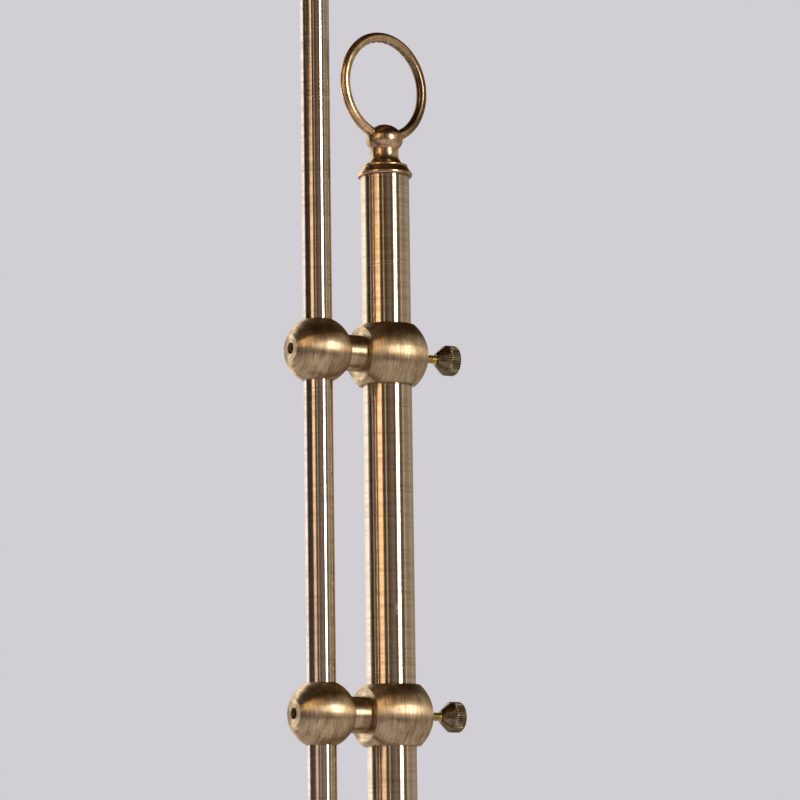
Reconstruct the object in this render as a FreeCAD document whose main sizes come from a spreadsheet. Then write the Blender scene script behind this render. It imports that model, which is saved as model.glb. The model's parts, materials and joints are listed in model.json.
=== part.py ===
import FreeCAD, Part
import math
import os
import re
import Sketcher

# Bridge floor lamp: a weighted foot, an upright tube with a carrying ring, two ball clamps that slide
# and turn on the upright, and a slimmer rod that ends in an arched arm with a tilting lamp head.
#
# Frame, in millimetres: the origin is the middle of the foot's underside, +Z goes up the upright and
# +X goes from the rod to the upright and on to the thumb screws. The arm reaches out along -X.

DRIVING_SIZES = {
    # fits
    "fit_gap": 0.05,                # radial play of a shaft in its bore
    "face_gap": 0.15,               # play between flat faces that turn on each other
    "tip_gap": 0.1,                 # screw tip to the surface that it presses on
    # foot
    "pad_thickness": 2.5,
    "pad_inset": 2.0,               # pad edge inside the weight's edge
    "weight_radius": 131.0,
    "weight_height": 18.0,
    "boss_radius": 21.0,            # raised middle of the weight, under the upright
    "boss_top": 44.0,
    "nut_pocket_radius": 18.0,
    "nut_pocket_depth": 14.0,
    "cover_wall": 1.2,
    "cover_play": 0.6,              # cover's skirt and collar outside the weight
    "cover_lift": 1.0,              # cover's lower edge above the floor
    "cover_side": 18.0,             # top of the cover's upright side
    "cover_shoulder": 8.0,
    "cover_ledge": 15.0,
    "cover_ledge_rise": 1.2,
    "cover_step": 3.0,
    "cover_step_run": 1.5,
    "cover_dome_radius": 300.0,
    "cover_dome_foot": 36.0,        # radius where the dome turns up into the collar
    "cover_cove": 12.0,
    "cover_cove_rise": 4.7,
    # upright
    "post_radius": 11.0,
    "post_wall": 1.2,
    "post_top": 1095.0,
    "stud_radius": 4.95,            # M10 stud through the foot
    "stud_tail": 1.5,               # stud past the nut
    "stud_hole_play": 0.45,
    "plug_length": 20.0,
    "washer_radius": 15.0,
    "washer_thickness": 2.0,
    "nut_height": 8.0,
    "nut_across_flats": 17.0,
    "collar_radius": 19.0,
    "collar_lip": 3.0,
    "collar_neck_radius": 14.0,
    "collar_height": 13.0,
    "collar_cove": 7.0,
    # finial and carrying ring, heights above the end of the upright
    "spigot_length": 12.0,
    "flange_radius": 12.1,
    "flange_edge": 1.9,
    "flange_round": 1.5,            # rounding of the flange's edge
    "flange_step": 0.95,
    "flange_step_radius": 10.4,
    "flange_height": 5.6,
    "flare_radius": 8.2,
    "flare_height": 6.2,
    "neck_radius": 6.35,
    "neck_height": 10.7,
    "neck_cove": 6.0,
    "bun_radius": 8.4,              # widest radius of the bun under the ring
    "bun_side_radius": 5.4,         # rounding of the bun's side
    "bun_height": 17.4,
    "bun_top": 24.2,
    "bun_blend_angle": 41.0,
    "ring_radius": 22.9,
    "ring_wire": 2.3,
    "ring_rise": 41.5,
    "ring_turn": 9.7,               # ring's plane, turned about the upright, in degrees
    "ring_gap_angle": 6.0,          # half of the joint in the ring, inside the bun, in degrees
    "scallop_radius": 1.9,
    "scallop_depth": 0.4,
    "scallop_start": -31.0,         # degrees from the ring's top
    "scallop_span": 76.0,
    "scallop_count": 8,
    # rod and arm
    "rod_radius": 6.5,
    "rod_wall": 1.0,
    "rod_tail": 120.0,              # rod below the lower clamp
    "rod_joint": 1290.0,            # height of the seam between rod and arm
    "coupler_length": 40.0,
    "coupler_wall": 1.2,
    "arm_rise": 110.0,              # straight stretch above the seam
    "arch_radius": 110.0,
    "arm_drop": 12.0,
    "gland_spigot": 12.0,
    "gland_head_radius": 8.0,
    "gland_head_height": 10.0,
    "gland_bore": 3.5,
    "gland_relief": 4.2,
    "gland_mouth": 1.0,
    # clamps
    "finial_to_clamp": 81.5,
    "clamp_spacing": 161.0,
    "clamp_reach": 35.8,            # upright axis to rod axis
    "rod_ball_radius": 15.2,
    "rod_facet": 12.8,
    "grub_face_radius": 5.75,
    "grub_radius": 2.5,
    "grub_length": 5.6,
    "hex_across_flats": 2.6,
    "hex_depth": 2.6,
    "post_ball_radius": 18.6,
    "post_ball_flat": 13.5,
    "post_facet": 14.2,
    "spacer_radius": 8.1,
    "joining_stud_radius": 4.0,
    "joining_stud_setback": 0.3,
    "liner_wall": 0.5,
    "liner_height": 20.8,
    "liner_end_gap": 0.1,
    "liner_slot": 2.0,
    # thumb screws
    "screw_face_radius": 4.7,
    "screw_radius": 2.0,
    "screw_point": 0.5,             # chamfer of the screw's tip
    "screw_showing": 7.3,
    "screw_socket": 7.0,
    "knob_nose_radius": 2.6,
    "knob_cone": 5.2,
    "knob_radius": 6.85,
    "knob_band": 4.9,
    "knob_chamfer": 0.7,
    "knurl_count": 40,
    "knurl_depth": 0.42,
    "knurl_half_width": 0.4,
    # knuckle, measured from its pivot
    "drum_radius": 9.5,
    "drum_depth": 7.0,
    "drum_hub_radius": 4.5,
    "drum_hollow_radius": 7.6,
    "drum_hollow_depth": 5.2,
    "drum_gap": 0.6,
    "knuckle_reach": 9.8,           # pivot to the stem's shoulder
    "stem_radius": 6.5,
    "stem_length": 10.0,
    "nipple_radius": 5.0,
    "nipple_bore": 3.5,
    "nipple_seat": 6.5,
    "nipple_in_arm": 14.0,
    "wire_hole": 2.0,
    "wire_hole_end": 5.0,
    "pin_radius": 2.5,
    "pin_head_radius": 5.5,
    "pin_head_height": 3.0,
    "pin_slot_width": 1.1,
    "pin_slot_depth": 1.3,
    "pin_nut_height": 4.0,
    "pin_washer_radius": 4.4,
    "pin_tail": 1.0,
    # lampholder, heights below the knuckle's stem
    "cap_crown_radius": 8.0,
    "cap_radius": 20.6,
    "cap_wall": 1.2,
    "cap_dome": 14.0,
    "cap_arc": 14.5,
    "cap_height": 20.0,
    "cap_boss_radius": 9.5,
    "cap_boss_depth": 5.0,
    "shell_side": 9.0,
    "shell_flange_radius": 24.0,
    "shell_flange": 4.0,
    "shell_flange_slope": 1.0,
    "shell_thread_radius": 19.9,
    "shell_wall": 2.3,
    "shell_length": 38.0,
    "insert_ledge": 12.0,           # depth of the ledge that carries the insert
    "insert_seat": 0.8,             # width of that ledge
    "insert_drop": 1.0,
    "insert_rim": 3.3,
    "insert_rim_height": 4.0,
    "insert_wire_hole": 2.5,
    "sleeve_radius": 13.85,
    "sleeve_wall": 0.5,
    "sleeve_length": 22.0,
    "tongue_width": 6.0,
    "tongue_length": 18.0,
    "tongue_crown": 8.0,
    "tongue_rise": 2.0,
    "tongue_thickness": 0.5,
    # bulb
    "bulb_cap_radius": 13.2,
    "bulb_cap_wall": 0.5,
    "bulb_cap_length": 23.0,
    "bulb_cap_taper": 3.0,
    "bulb_cap_mouth": 10.0,
    "bulb_button_radius": 4.0,
    "bulb_base_radius": 6.0,
    "bulb_base_height": 2.6,
    "bulb_base_seat": 1.5,
    "bulb_neck_play": 0.1,
    "bulb_neck_seat": 6.0,
    "bulb_wall": 1.0,
    "bulb_throat_radius": 14.0,
    "bulb_throat": 4.0,
    "bulb_radius": 30.0,
    "bulb_join_angle": 35.3,
    # shade
    "shade_wall": 0.8,
    "shade_hole_play": 0.1,
    "shade_top_radius": 33.0,
    "shade_shoulder": 13.0,
    "shade_skirt_radius": 96.0,
    "shade_skirt": 106.0,
    "shade_flare": 6.0,
    "shade_flare_run": 4.0,
    "shade_flare_arc": 10.0,
    "shade_bead": 1.5,
    "shade_bead_height": 2.8,
    "shade_ring_radius": 26.0,
    "shade_ring_height": 8.0,
    "shade_ring_grips": 12,
    "shade_ring_grip": 1.6,
}

LEFT = 1
RIGHT = -1
FULL_TURN = 360.0
HALF_TURN = "180"
HEX_SIDES = 6
UP = FreeCAD.Vector(0, 0, 1)

document = FreeCAD.newDocument("BridgeFloorLamp")
sheet = document.addObject("Spreadsheet::Sheet", "Sizes")
for row, (alias, size) in enumerate(DRIVING_SIZES.items(), start=1):
    sheet.set("A%d" % row, alias)
    sheet.set("B%d" % row, str(size))
    sheet.setAlias("B%d" % row, alias)
document.recompute()


# ---------------------------------------------------------------- expressions

def linked(expression):
    """The expression with each size in it read from the sheet."""
    def link(word):
        return "Sizes." + word.group() if word.group() in DRIVING_SIZES else word.group()
    return re.sub(r"[a-z][a-z_]*", link, expression)


def amount(expression):
    """The number that the expression gives with the present sizes."""
    return float(sheet.evalExpression(expression))


def bind(item, name, expression):
    item.setExpression(name, linked(expression))


def less(expression):
    """The same expression with its sign turned."""
    return "-(" + expression + ")"


def joined(*lengths):
    """The sum of several expressions, as one that can be used inside another."""
    return "(" + " + ".join(lengths) + ")"


# ---------------------------------------------------------------- sketches

def new_body(label):
    body = document.addObject("PartDesign::Body", label)
    body.Label = label
    return body


def place(body, across="0", up="0", turn=None, axis=UP):
    """Puts a body at its place in the lamp's frame."""
    if turn is not None:
        body.Placement.Rotation = FreeCAD.Rotation(axis, amount(turn))
        bind(body, "Placement.Rotation.Angle", turn)
    bind(body, "Placement.Base.x", across)
    bind(body, "Placement.Base.z", up)
    return body


def origin_item(body, role):
    return [item for item in body.Origin.OriginFeatures if item.Role == role][0]


def new_sketch(body, name, plane, offset):
    """A sketch on one of the body's own planes, moved along that plane's normal by offset."""
    sketch = body.newObject("Sketcher::SketchObject", body.Name + "_" + name)
    sketch.AttachmentSupport = [(origin_item(body, plane), "")]
    sketch.MapMode = "FlatFace"
    if offset != "0":
        bind(sketch, "AttachmentOffset.Base.z", offset)
    return sketch


def hold_point(sketch, item, point, across, up):
    """Fixes one point of a sketch by its two coordinates."""
    for kind, expression, axis in (("DistanceX", across, -2), ("DistanceY", up, -1)):
        if expression == "0":
            sketch.addConstraint(Sketcher.Constraint("PointOnObject", item, point, axis))
        else:
            held = Sketcher.Constraint(kind, -1, 1, item, point, amount(expression))
            bind(sketch, "Constraints[%d]" % sketch.addConstraint(held), expression)


def hold_radius(sketch, item, radius):
    held = Sketcher.Constraint("Radius", item, amount(radius))
    bind(sketch, "Constraints[%d]" % sketch.addConstraint(held), radius)


def arc_between(start, end, radius, turn):
    """The shorter arc from start to end that turns left or right."""
    chord = end - start
    side = FreeCAD.Vector(-chord.y, chord.x, 0).normalize()
    height = math.sqrt(max(radius ** 2 - (chord.Length / 2) ** 2, 0))
    centre = (start + end) / 2 + side * (height * turn)
    first, last = (start, end) if turn == LEFT else (end, start)
    begin = math.atan2(first.y - centre.y, first.x - centre.x)
    finish = math.atan2(last.y - centre.y, last.x - centre.x)
    if finish < begin:
        finish += 2 * math.pi
    return Part.ArcOfCircle(Part.Circle(centre, UP, radius), begin, finish)


def outline(body, name, plane, corners, offset="0", closed=True):
    """Lines and arcs through the corners, each held by the sheet's sizes.

    A corner is (across, up), or (across, up, radius, turn) where an arc leads to it.
    """
    sketch = new_sketch(body, name, plane, offset)
    points = [FreeCAD.Vector(amount(corner[0]), amount(corner[1]), 0) for corner in corners]
    first = 0 if closed else 1
    ends = {}
    for index in range(first, len(corners)):
        bent = len(corners[index]) > 2
        turn = corners[index][3] if bent else LEFT
        if bent:
            curve = arc_between(points[index - 1], points[index], amount(corners[index][2]), turn)
        else:
            curve = Part.LineSegment(points[index - 1], points[index])
        item = sketch.addGeometry(curve, False)
        ends[index] = (item, 1, 2) if turn == LEFT else (item, 2, 1)
        hold_point(sketch, item, ends[index][2], corners[index][0], corners[index][1])
        if bent:
            hold_radius(sketch, item, corners[index][2])
    for index in range(first, len(corners)):
        before = (index - 1) % len(corners)
        if before in ends:
            joint = (ends[before][0], ends[before][2], ends[index][0], ends[index][1])
            sketch.addConstraint(Sketcher.Constraint("Coincident", *joint))
        else:
            hold_point(sketch, ends[index][0], ends[index][1], corners[before][0], corners[before][1])
    return sketch


def circles(body, name, plane, rings, offset="0"):
    """Circles given as (across, up, radius)."""
    sketch = new_sketch(body, name, plane, offset)
    for across, up, radius in rings:
        centre = FreeCAD.Vector(amount(across), amount(up), 0)
        item = sketch.addGeometry(Part.Circle(centre, UP, amount(radius)), False)
        hold_point(sketch, item, 3, across, up)
        hold_radius(sketch, item, radius)
    return sketch


def hexagon(body, name, plane, across_flats, offset="0", hole=None):
    """A hexagon about the sketch's origin, with a round hole where one is given."""
    corners = []
    for side in range(HEX_SIDES):
        angle = FULL_TURN * (side + 1 / 2) / HEX_SIDES
        reach = across_flats + " / 2 / cos(%g)" % (FULL_TURN / HEX_SIDES / 2)
        corners.append(("%s * cos(%g)" % (reach, angle), "%s * sin(%g)" % (reach, angle)))
    sketch = outline(body, name, plane, corners, offset)
    if hole:
        item = sketch.addGeometry(Part.Circle(FreeCAD.Vector(), UP, amount(hole)), False)
        hold_point(sketch, item, 3, "0", "0")
        hold_radius(sketch, item, hole)
    return sketch


# ---------------------------------------------------------------- features

def revolve(body, sketch, axis="V_Axis", angle=None):
    """Turns the sketch about one of its own axes; a part turn is even about the sketch's plane."""
    feature = body.newObject("PartDesign::Revolution", sketch.Name + "_turned")
    feature.Profile = sketch
    feature.ReferenceAxis = (sketch, [axis])
    feature.Angle = FULL_TURN
    if angle:
        feature.Midplane = True
        bind(feature, "Angle", angle)
    document.recompute()
    return feature


def pad(body, sketch, length, both=False):
    """Thickens the sketch's shape along the plane's normal, or to both sides of the plane."""
    feature = body.newObject("PartDesign::Pad", sketch.Name + "_pad")
    feature.Profile = sketch
    feature.Midplane = both
    bind(feature, "Length", length)
    document.recompute()
    return feature


def cut(body, sketch, length, forward=False, both=False):
    """Cuts the sketch's shape out of the body, against the plane's normal unless forward."""
    before = body.Shape.Volume
    feature = body.newObject("PartDesign::Pocket", sketch.Name + "_cut")
    feature.Profile = sketch
    feature.Reversed = forward
    feature.Midplane = both
    bind(feature, "Length", length)
    document.recompute()
    if not body.Shape.Volume < before:
        raise RuntimeError(feature.Name + " cuts nothing")
    return feature


def drill(body, name, plane, offset, radius, length, forward=False, across="0", up="0"):
    sketch = circles(body, name, plane, [(across, up, radius)], offset)
    return cut(body, sketch, length, forward)


def repeat(body, feature, axis, count, angle=None):
    """Copies a cut round one of the body's axes."""
    pattern = body.newObject("PartDesign::PolarPattern", feature.Name + "_round")
    pattern.Originals = [feature]
    pattern.Axis = (origin_item(body, axis), [""])
    pattern.Angle = FULL_TURN
    if angle:
        bind(pattern, "Angle", angle)
    bind(pattern, "Occurrences", count)
    body.Tip = pattern
    document.recompute()
    return pattern


def turned_part(label, corners, axis="V_Axis", plane="XZ_Plane"):
    """A piece turned on a lathe: its half outline, revolved about the axis."""
    body = new_body(label)
    revolve(body, outline(body, "profile", plane, corners), axis)
    return body


def ring_part(label, inner, outer, bottom, top):
    """A plain tube, sleeve or washer that stands upright."""
    corners = [(inner, bottom), (outer, bottom), (outer, top), (inner, top)]
    return turned_part(label, corners)


def group(label, members):
    """Identical fasteners, kept as separate solids in one piece."""
    bundle = document.addObject("Part::Compound", label)
    bundle.Label = label
    bundle.Links = members
    return bundle


# ---------------------------------------------------------------- heights that pieces share

weight_top = joined("pad_thickness", "weight_height")
pocket_top = joined("pad_thickness", "nut_pocket_depth")
cover_top = joined("boss_top", "cover_wall")
stud_hole = joined("stud_radius", "stud_hole_play")
post_bore = joined("post_radius", "-post_wall")
liner_in = joined("post_radius", "fit_gap")
liner_out = joined(liner_in, "liner_wall")
in_post = joined("post_radius", "-post_wall", "-fit_gap")
rod_bore = joined("rod_radius", "-rod_wall")
in_rod = joined("rod_radius", "-rod_wall", "-fit_gap")
upper_clamp = joined("post_top", "-finial_to_clamp")
lower_clamp = joined(upper_clamp, "-clamp_spacing")
rod_bottom = joined(lower_clamp, "-rod_tail")
arm_end = joined("rod_joint", "arm_rise", "-arm_drop")
head_across = joined("-clamp_reach", "-2 * arch_radius")
pivot_height = joined(arm_end, "-knuckle_reach", "-stem_length")


# ---------------------------------------------------------------- foot

def make_foot():
    """Rubber pad, iron weight, spun cover, collar and the stud that pulls them together."""
    made = []
    nut_bore = joined("stud_radius", "fit_gap")
    pad_edge = joined("weight_radius", "-pad_inset")
    made.append(turned_part("base_pad", [
        ("0", "0"),
        (pad_edge, "0"),
        (pad_edge, "pad_thickness"),
        ("0", "pad_thickness"),
    ]))

    made.append(turned_part("base_weight", [
        ("nut_pocket_radius", "pad_thickness"),
        ("weight_radius", "pad_thickness"),
        ("weight_radius", weight_top),
        ("boss_radius", weight_top),
        ("boss_radius", "boss_top"),
        (stud_hole, "boss_top"),
        (stud_hole, pocket_top),
        ("nut_pocket_radius", pocket_top),
    ]))

    skirt_in = joined("weight_radius", "cover_play")
    skirt_out = joined(skirt_in, "cover_wall")
    shoulder_in = joined(skirt_out, "-cover_shoulder")
    shoulder_top = joined("cover_side", "cover_shoulder")
    ledge_in = joined(shoulder_in, "-cover_ledge")
    ledge_top = joined(shoulder_top, "cover_ledge_rise")
    step_in = joined(ledge_in, "-cover_step_run")
    step_top = joined(ledge_top, "cover_step")
    cove_foot = joined(cover_top, "-cover_cove_rise")
    neck_in = joined("boss_radius", "cover_play")
    neck_out = joined(neck_in, "cover_wall")
    made.append(turned_part("base_cover", [
        (skirt_in, "cover_lift"),
        (skirt_out, "cover_lift"),
        (skirt_out, "cover_side"),
        (shoulder_in, shoulder_top, "cover_shoulder", LEFT),
        (ledge_in, ledge_top),
        (step_in, step_top),
        ("cover_dome_foot", cove_foot, "cover_dome_radius", LEFT),
        (neck_out, cover_top, "cover_cove", RIGHT),
        (stud_hole, cover_top),
        (stud_hole, "boss_top"),
        (neck_in, "boss_top"),
        ("cover_dome_foot", joined(cove_foot, "-cover_wall"), joined("cover_cove", "cover_wall"), LEFT),
        (joined(step_in, "-cover_wall"), joined(step_top, "-cover_wall"),
         joined("cover_dome_radius", "-cover_wall"), RIGHT),
        (joined(ledge_in, "-cover_wall"), joined(ledge_top, "-cover_wall")),
        (shoulder_in, joined(shoulder_top, "-cover_wall")),
        (skirt_in, "cover_side", joined("cover_shoulder", "-cover_wall"), RIGHT),
    ]))

    made.append(turned_part("post_collar", [
        (joined("post_radius", "fit_gap"), cover_top),
        ("collar_radius", cover_top),
        ("collar_radius", joined(cover_top, "collar_lip")),
        ("collar_neck_radius", joined(cover_top, "collar_lip", "collar_cove"), "collar_cove", RIGHT),
        ("collar_neck_radius", joined(cover_top, "collar_height")),
        (joined("post_radius", "fit_gap"), joined(cover_top, "collar_height")),
    ]))

    plug_top = joined(cover_top, "plug_length")
    made.append(ring_part("post_foot_plug", nut_bore, in_post, cover_top, plug_top))

    nut_bottom = joined(pocket_top, "-washer_thickness", "-nut_height")
    stud_bottom = joined(nut_bottom, "-stud_tail")
    made.append(turned_part("foot_stud", [
        ("0", stud_bottom),
        ("stud_radius", stud_bottom),
        ("stud_radius", joined(plug_top, "-stud_tail")),
        ("0", joined(plug_top, "-stud_tail")),
    ]))

    washer_bottom = joined(pocket_top, "-washer_thickness")
    made.append(ring_part("foot_washer", stud_hole, "washer_radius", washer_bottom, pocket_top))

    nut = new_body("foot_nut")
    pad(nut, hexagon(nut, "flats", "XY_Plane", "nut_across_flats", nut_bottom, nut_bore), "nut_height")
    made.append(nut)
    return made


# ---------------------------------------------------------------- upright, finial and ring

def make_upright():
    """The upright tube, its turned finial and the carrying ring through the finial's bun."""
    tube = ring_part("post_tube", post_bore, "post_radius", cover_top, "post_top")

    side_centre = joined("bun_radius", "-bun_side_radius")
    blend_across = joined(side_centre, "bun_side_radius * cos(bun_blend_angle)")
    blend_up = joined("bun_height", "bun_side_radius * sin(bun_blend_angle)")
    crown = joined("bun_top", less(blend_up))
    crown_radius = "(%s ^ 2 + %s ^ 2) / (2 * %s)" % (blend_across, crown, crown)
    neck_end = joined("bun_height", "-sqrt(bun_side_radius ^ 2 - (neck_radius - %s) ^ 2)" % side_centre)
    finial = turned_part("finial", [
        ("0", "-spigot_length"),
        (in_post, "-spigot_length"),
        (in_post, "0"),
        ("flange_radius", "0"),
        ("flange_radius", "flange_edge", "flange_round", LEFT),
        ("flange_step_radius", joined("flange_height", "-flange_step")),
        ("flange_step_radius", "flange_height"),
        ("flare_radius", "flare_height"),
        ("neck_radius", "neck_height", "neck_cove", RIGHT),
        ("neck_radius", neck_end),
        (blend_across, blend_up, "bun_side_radius", LEFT),
        ("0", "bun_top", crown_radius, LEFT),
    ])
    channel = circles(finial, "channel", "YZ_Plane",
                      [("0", joined("ring_rise", "-ring_radius"), joined("ring_wire", "fit_gap"))])
    drill_ring_channel(finial, channel)
    place(finial, up="post_top", turn="ring_turn")

    ring = new_body("carry_ring")
    wire = circles(ring, "wire", "YZ_Plane", [("0", "ring_radius", "ring_wire")])
    revolve(ring, wire, "H_Axis", "%g - 2 * ring_gap_angle" % FULL_TURN)
    bite = "(ring_radius - ring_wire - scallop_radius + scallop_depth)"
    bite_place = (bite + " * sin(scallop_start)", bite + " * cos(scallop_start)", "scallop_radius")
    scallop = circles(ring, "scallop", "XZ_Plane", [bite_place])
    scallop_cut = cut(ring, scallop, "4 * ring_wire", both=True)
    repeat(ring, scallop_cut, "Y_Axis", "scallop_count", "scallop_span")
    place(ring, up=joined("post_top", "ring_rise"), turn="ring_turn")
    return [tube, finial, ring]


def drill_ring_channel(finial, channel):
    """The curved way through the bun, on the ring's own circle."""
    axis_ends = [("-ring_wire", "ring_rise"), ("ring_wire", "ring_rise")]
    pivot = outline(finial, "channel_axis", "YZ_Plane", axis_ends, closed=False)
    before = finial.Shape.Volume
    groove = finial.newObject("PartDesign::Groove", "finial_channel_cut")
    groove.Profile = channel
    groove.ReferenceAxis = (pivot, ["Edge1"])
    groove.Midplane = True
    bind(groove, "Angle", "2 * asin((bun_radius + ring_wire) / ring_radius)")
    document.recompute()
    if not finial.Shape.Volume < before:
        raise RuntimeError("the ring's channel cuts nothing")


# ---------------------------------------------------------------- rod and arm

def make_rod():
    """The slim rod, the arched arm above its seam, and the fittings in their ends."""
    rod = ring_part("rod_tube", rod_bore, "rod_radius", rod_bottom, "rod_joint")
    place(rod, "-clamp_reach")

    coupler = ring_part("arm_coupler", joined(in_rod, "-coupler_wall"), in_rod,
                        "-coupler_length / 2", "coupler_length / 2")
    place(coupler, "-clamp_reach", "rod_joint")

    arm = new_body("bridge_arm")
    far = "-2 * arch_radius"
    route = outline(arm, "route", "XZ_Plane", [
        ("0", "0"),
        ("0", "arm_rise"),
        ("-arch_radius", "arm_rise + arch_radius", "arch_radius", LEFT),
        (far, "arm_rise", "arch_radius", LEFT),
        (far, "arm_rise - arm_drop"),
    ], closed=False)
    section = circles(arm, "section", "XY_Plane", [("0", "0", "rod_radius"), ("0", "0", rod_bore)])
    pipe = arm.newObject("PartDesign::AdditivePipe", "arm_bend")
    pipe.Profile = section
    pipe.Spine = (route, ["Edge1", "Edge2", "Edge3", "Edge4"])
    document.recompute()
    place(arm, "-clamp_reach", "rod_joint")

    gland = turned_part("cord_gland", [
        ("gland_bore", joined("gland_mouth", "-gland_head_height")),
        (joined("gland_bore", "gland_mouth"), "-gland_head_height", "gland_mouth", LEFT),
        (joined("gland_head_radius", "-gland_mouth"), "-gland_head_height"),
        ("gland_head_radius", joined("gland_mouth", "-gland_head_height"), "gland_mouth", LEFT),
        ("gland_head_radius", "0"),
        (in_rod, "0"),
        (in_rod, "gland_spigot"),
        ("gland_relief", "gland_spigot"),
        ("gland_relief", "gland_mouth"),
        ("gland_bore", "0"),
    ])
    place(gland, "-clamp_reach", rod_bottom)

    nipple = turned_part("arm_nipple", [
        ("nipple_bore", "-nipple_seat"),
        ("nipple_radius", "-nipple_seat"),
        ("nipple_radius", "0"),
        (in_rod, "0"),
        (in_rod, "nipple_in_arm"),
        ("nipple_bore", "nipple_in_arm"),
    ])
    place(nipple, head_across, arm_end)
    return [rod, coupler, arm, gland, nipple]


# ---------------------------------------------------------------- clamps

def make_clamp(level, height):
    """One clamp: a ball pinned to the rod, a spacer, and a ball with a lined bore on the upright."""
    rod_hole = joined("rod_radius", "fit_gap")
    post_hole = joined("post_radius", "2 * fit_gap")
    groove = joined(liner_out, "fit_gap")
    groove_end = joined("liner_height / 2", "liner_end_gap")
    stud_bore = joined("joining_stud_radius", "fit_gap")

    rod_end = "sqrt(rod_ball_radius ^ 2 - %s ^ 2)" % rod_hole
    rod_ball = turned_part(level + "_rod_ball", [
        (rod_hole, less(rod_end)),
        (rod_hole, rod_end, "rod_ball_radius", LEFT),
    ])
    grub_face = "sqrt(rod_ball_radius ^ 2 - grub_face_radius ^ 2)"
    drill(rod_ball, "grub_face", "YZ_Plane", less(grub_face), "rod_ball_radius", "rod_ball_radius")
    drill(rod_ball, "grub_hole", "YZ_Plane", "0", joined("grub_radius", "fit_gap"), "rod_ball_radius")
    drill(rod_ball, "seat", "YZ_Plane", "rod_facet", "rod_ball_radius", "rod_ball_radius", True)
    drill(rod_ball, "stud_hole", "YZ_Plane", "0", stud_bore, "rod_ball_radius", True)
    place(rod_ball, "-clamp_reach", height)

    flat = "sqrt(post_ball_radius ^ 2 - post_ball_flat ^ 2)"
    post_ball = turned_part(level + "_post_ball", [
        (post_hole, "-post_ball_flat"),
        (flat, "-post_ball_flat"),
        (flat, "post_ball_flat", "post_ball_radius", LEFT),
        (post_hole, "post_ball_flat"),
        (post_hole, groove_end),
        (groove, groove_end),
        (groove, less(groove_end)),
        (post_hole, less(groove_end)),
    ])
    drill(post_ball, "seat", "YZ_Plane", "-post_facet", "post_ball_radius", "post_ball_radius")
    drill(post_ball, "stud_hole", "YZ_Plane", "0", stud_bore, "post_ball_radius")
    screw_face = "sqrt(post_ball_radius ^ 2 - screw_face_radius ^ 2)"
    drill(post_ball, "screw_face", "YZ_Plane", screw_face, "post_ball_radius", "post_ball_radius", True)
    screw_bore = joined("screw_radius", "fit_gap")
    drill(post_ball, "screw_hole", "YZ_Plane", "0", screw_bore, "post_ball_radius", True)
    place(post_ball, up=height)

    spacer_start = joined("-clamp_reach", "rod_facet")
    spacer = turned_part(level + "_spacer", [
        (spacer_start, stud_bore),
        ("-post_facet", stud_bore),
        ("-post_facet", "spacer_radius"),
        (spacer_start, "spacer_radius"),
    ], "H_Axis")
    place(spacer, up=height)

    stud_start = joined("-clamp_reach", rod_hole, "joining_stud_setback")
    stud_end = less(joined(groove, "joining_stud_setback"))
    stud = turned_part(level + "_joining_stud", [
        (stud_start, "0"),
        (stud_end, "0"),
        (stud_end, "joining_stud_radius"),
        (stud_start, "joining_stud_radius"),
    ], "H_Axis")
    place(stud, up=height)

    grub_tip = joined("-clamp_reach", "-rod_radius", "-tip_gap")
    grub_back = joined(grub_tip, "-grub_length")
    grub = turned_part(level + "_grub_screw", [
        (grub_back, "0"),
        (grub_tip, "0"),
        (grub_tip, "grub_radius"),
        (grub_back, "grub_radius"),
    ], "H_Axis")
    cut(grub, hexagon(grub, "socket", "YZ_Plane", "hex_across_flats", grub_back), "hex_depth", True)
    place(grub, up=height)

    liner = ring_part(level + "_liner", liner_in, liner_out, "-liner_height / 2", "liner_height / 2")
    half_slot = "liner_slot / 2"
    slot = outline(liner, "slot", "XY_Plane", [
        (less(half_slot), "0"),
        (half_slot, "0"),
        (half_slot, "post_ball_radius"),
        (less(half_slot), "post_ball_radius"),
    ])
    cut(liner, slot, "2 * liner_height", both=True)
    place(liner, up=height)
    return {"balls": [rod_ball, post_ball, spacer, liner], "stud": stud, "grub": grub}


def make_thumb_screw(level, height):
    """A threaded stud in the clamp's bore, and the knurled knob on its end."""
    screw_face = "sqrt(post_ball_radius ^ 2 - screw_face_radius ^ 2)"
    tip = joined(liner_out, "tip_gap")
    nose = joined(screw_face, "screw_showing")
    socket_end = joined(nose, "screw_socket")
    stud = turned_part(level + "_screw_stud", [
        (tip, "0"),
        (socket_end, "0"),
        (socket_end, "screw_radius"),
        (joined(tip, "screw_point"), "screw_radius"),
        (tip, joined("screw_radius", "-screw_point")),
    ], "H_Axis")
    place(stud, up=height)

    bore = joined("screw_radius", "fit_gap")
    band = joined(nose, "knob_cone")
    back = joined(band, "knob_band")
    socket_floor = joined(socket_end, "tip_gap")
    knob = turned_part(level + "_knob", [
        (nose, bore),
        (socket_floor, bore),
        (socket_floor, "0"),
        (back, "0"),
        (back, joined("knob_radius", "-knob_chamfer")),
        (joined(back, "-knob_chamfer"), "knob_radius", "knob_chamfer", LEFT),
        (band, "knob_radius"),
        (nose, "knob_nose_radius"),
    ], "H_Axis")
    past_rim = joined("knob_radius", "knurl_depth / 4")
    notch = outline(knob, "notch", "YZ_Plane", [
        ("0", joined("knob_radius", "-knurl_depth")),
        ("knurl_half_width", past_rim),
        ("-knurl_half_width", past_rim),
    ], joined(band, "-knob_chamfer"))
    repeat(knob, cut(knob, notch, joined("knob_band", "2 * knob_chamfer"), True), "X_Axis", "knurl_count")
    place(knob, up=height)
    return [stud, knob]


# ---------------------------------------------------------------- knuckle

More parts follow.
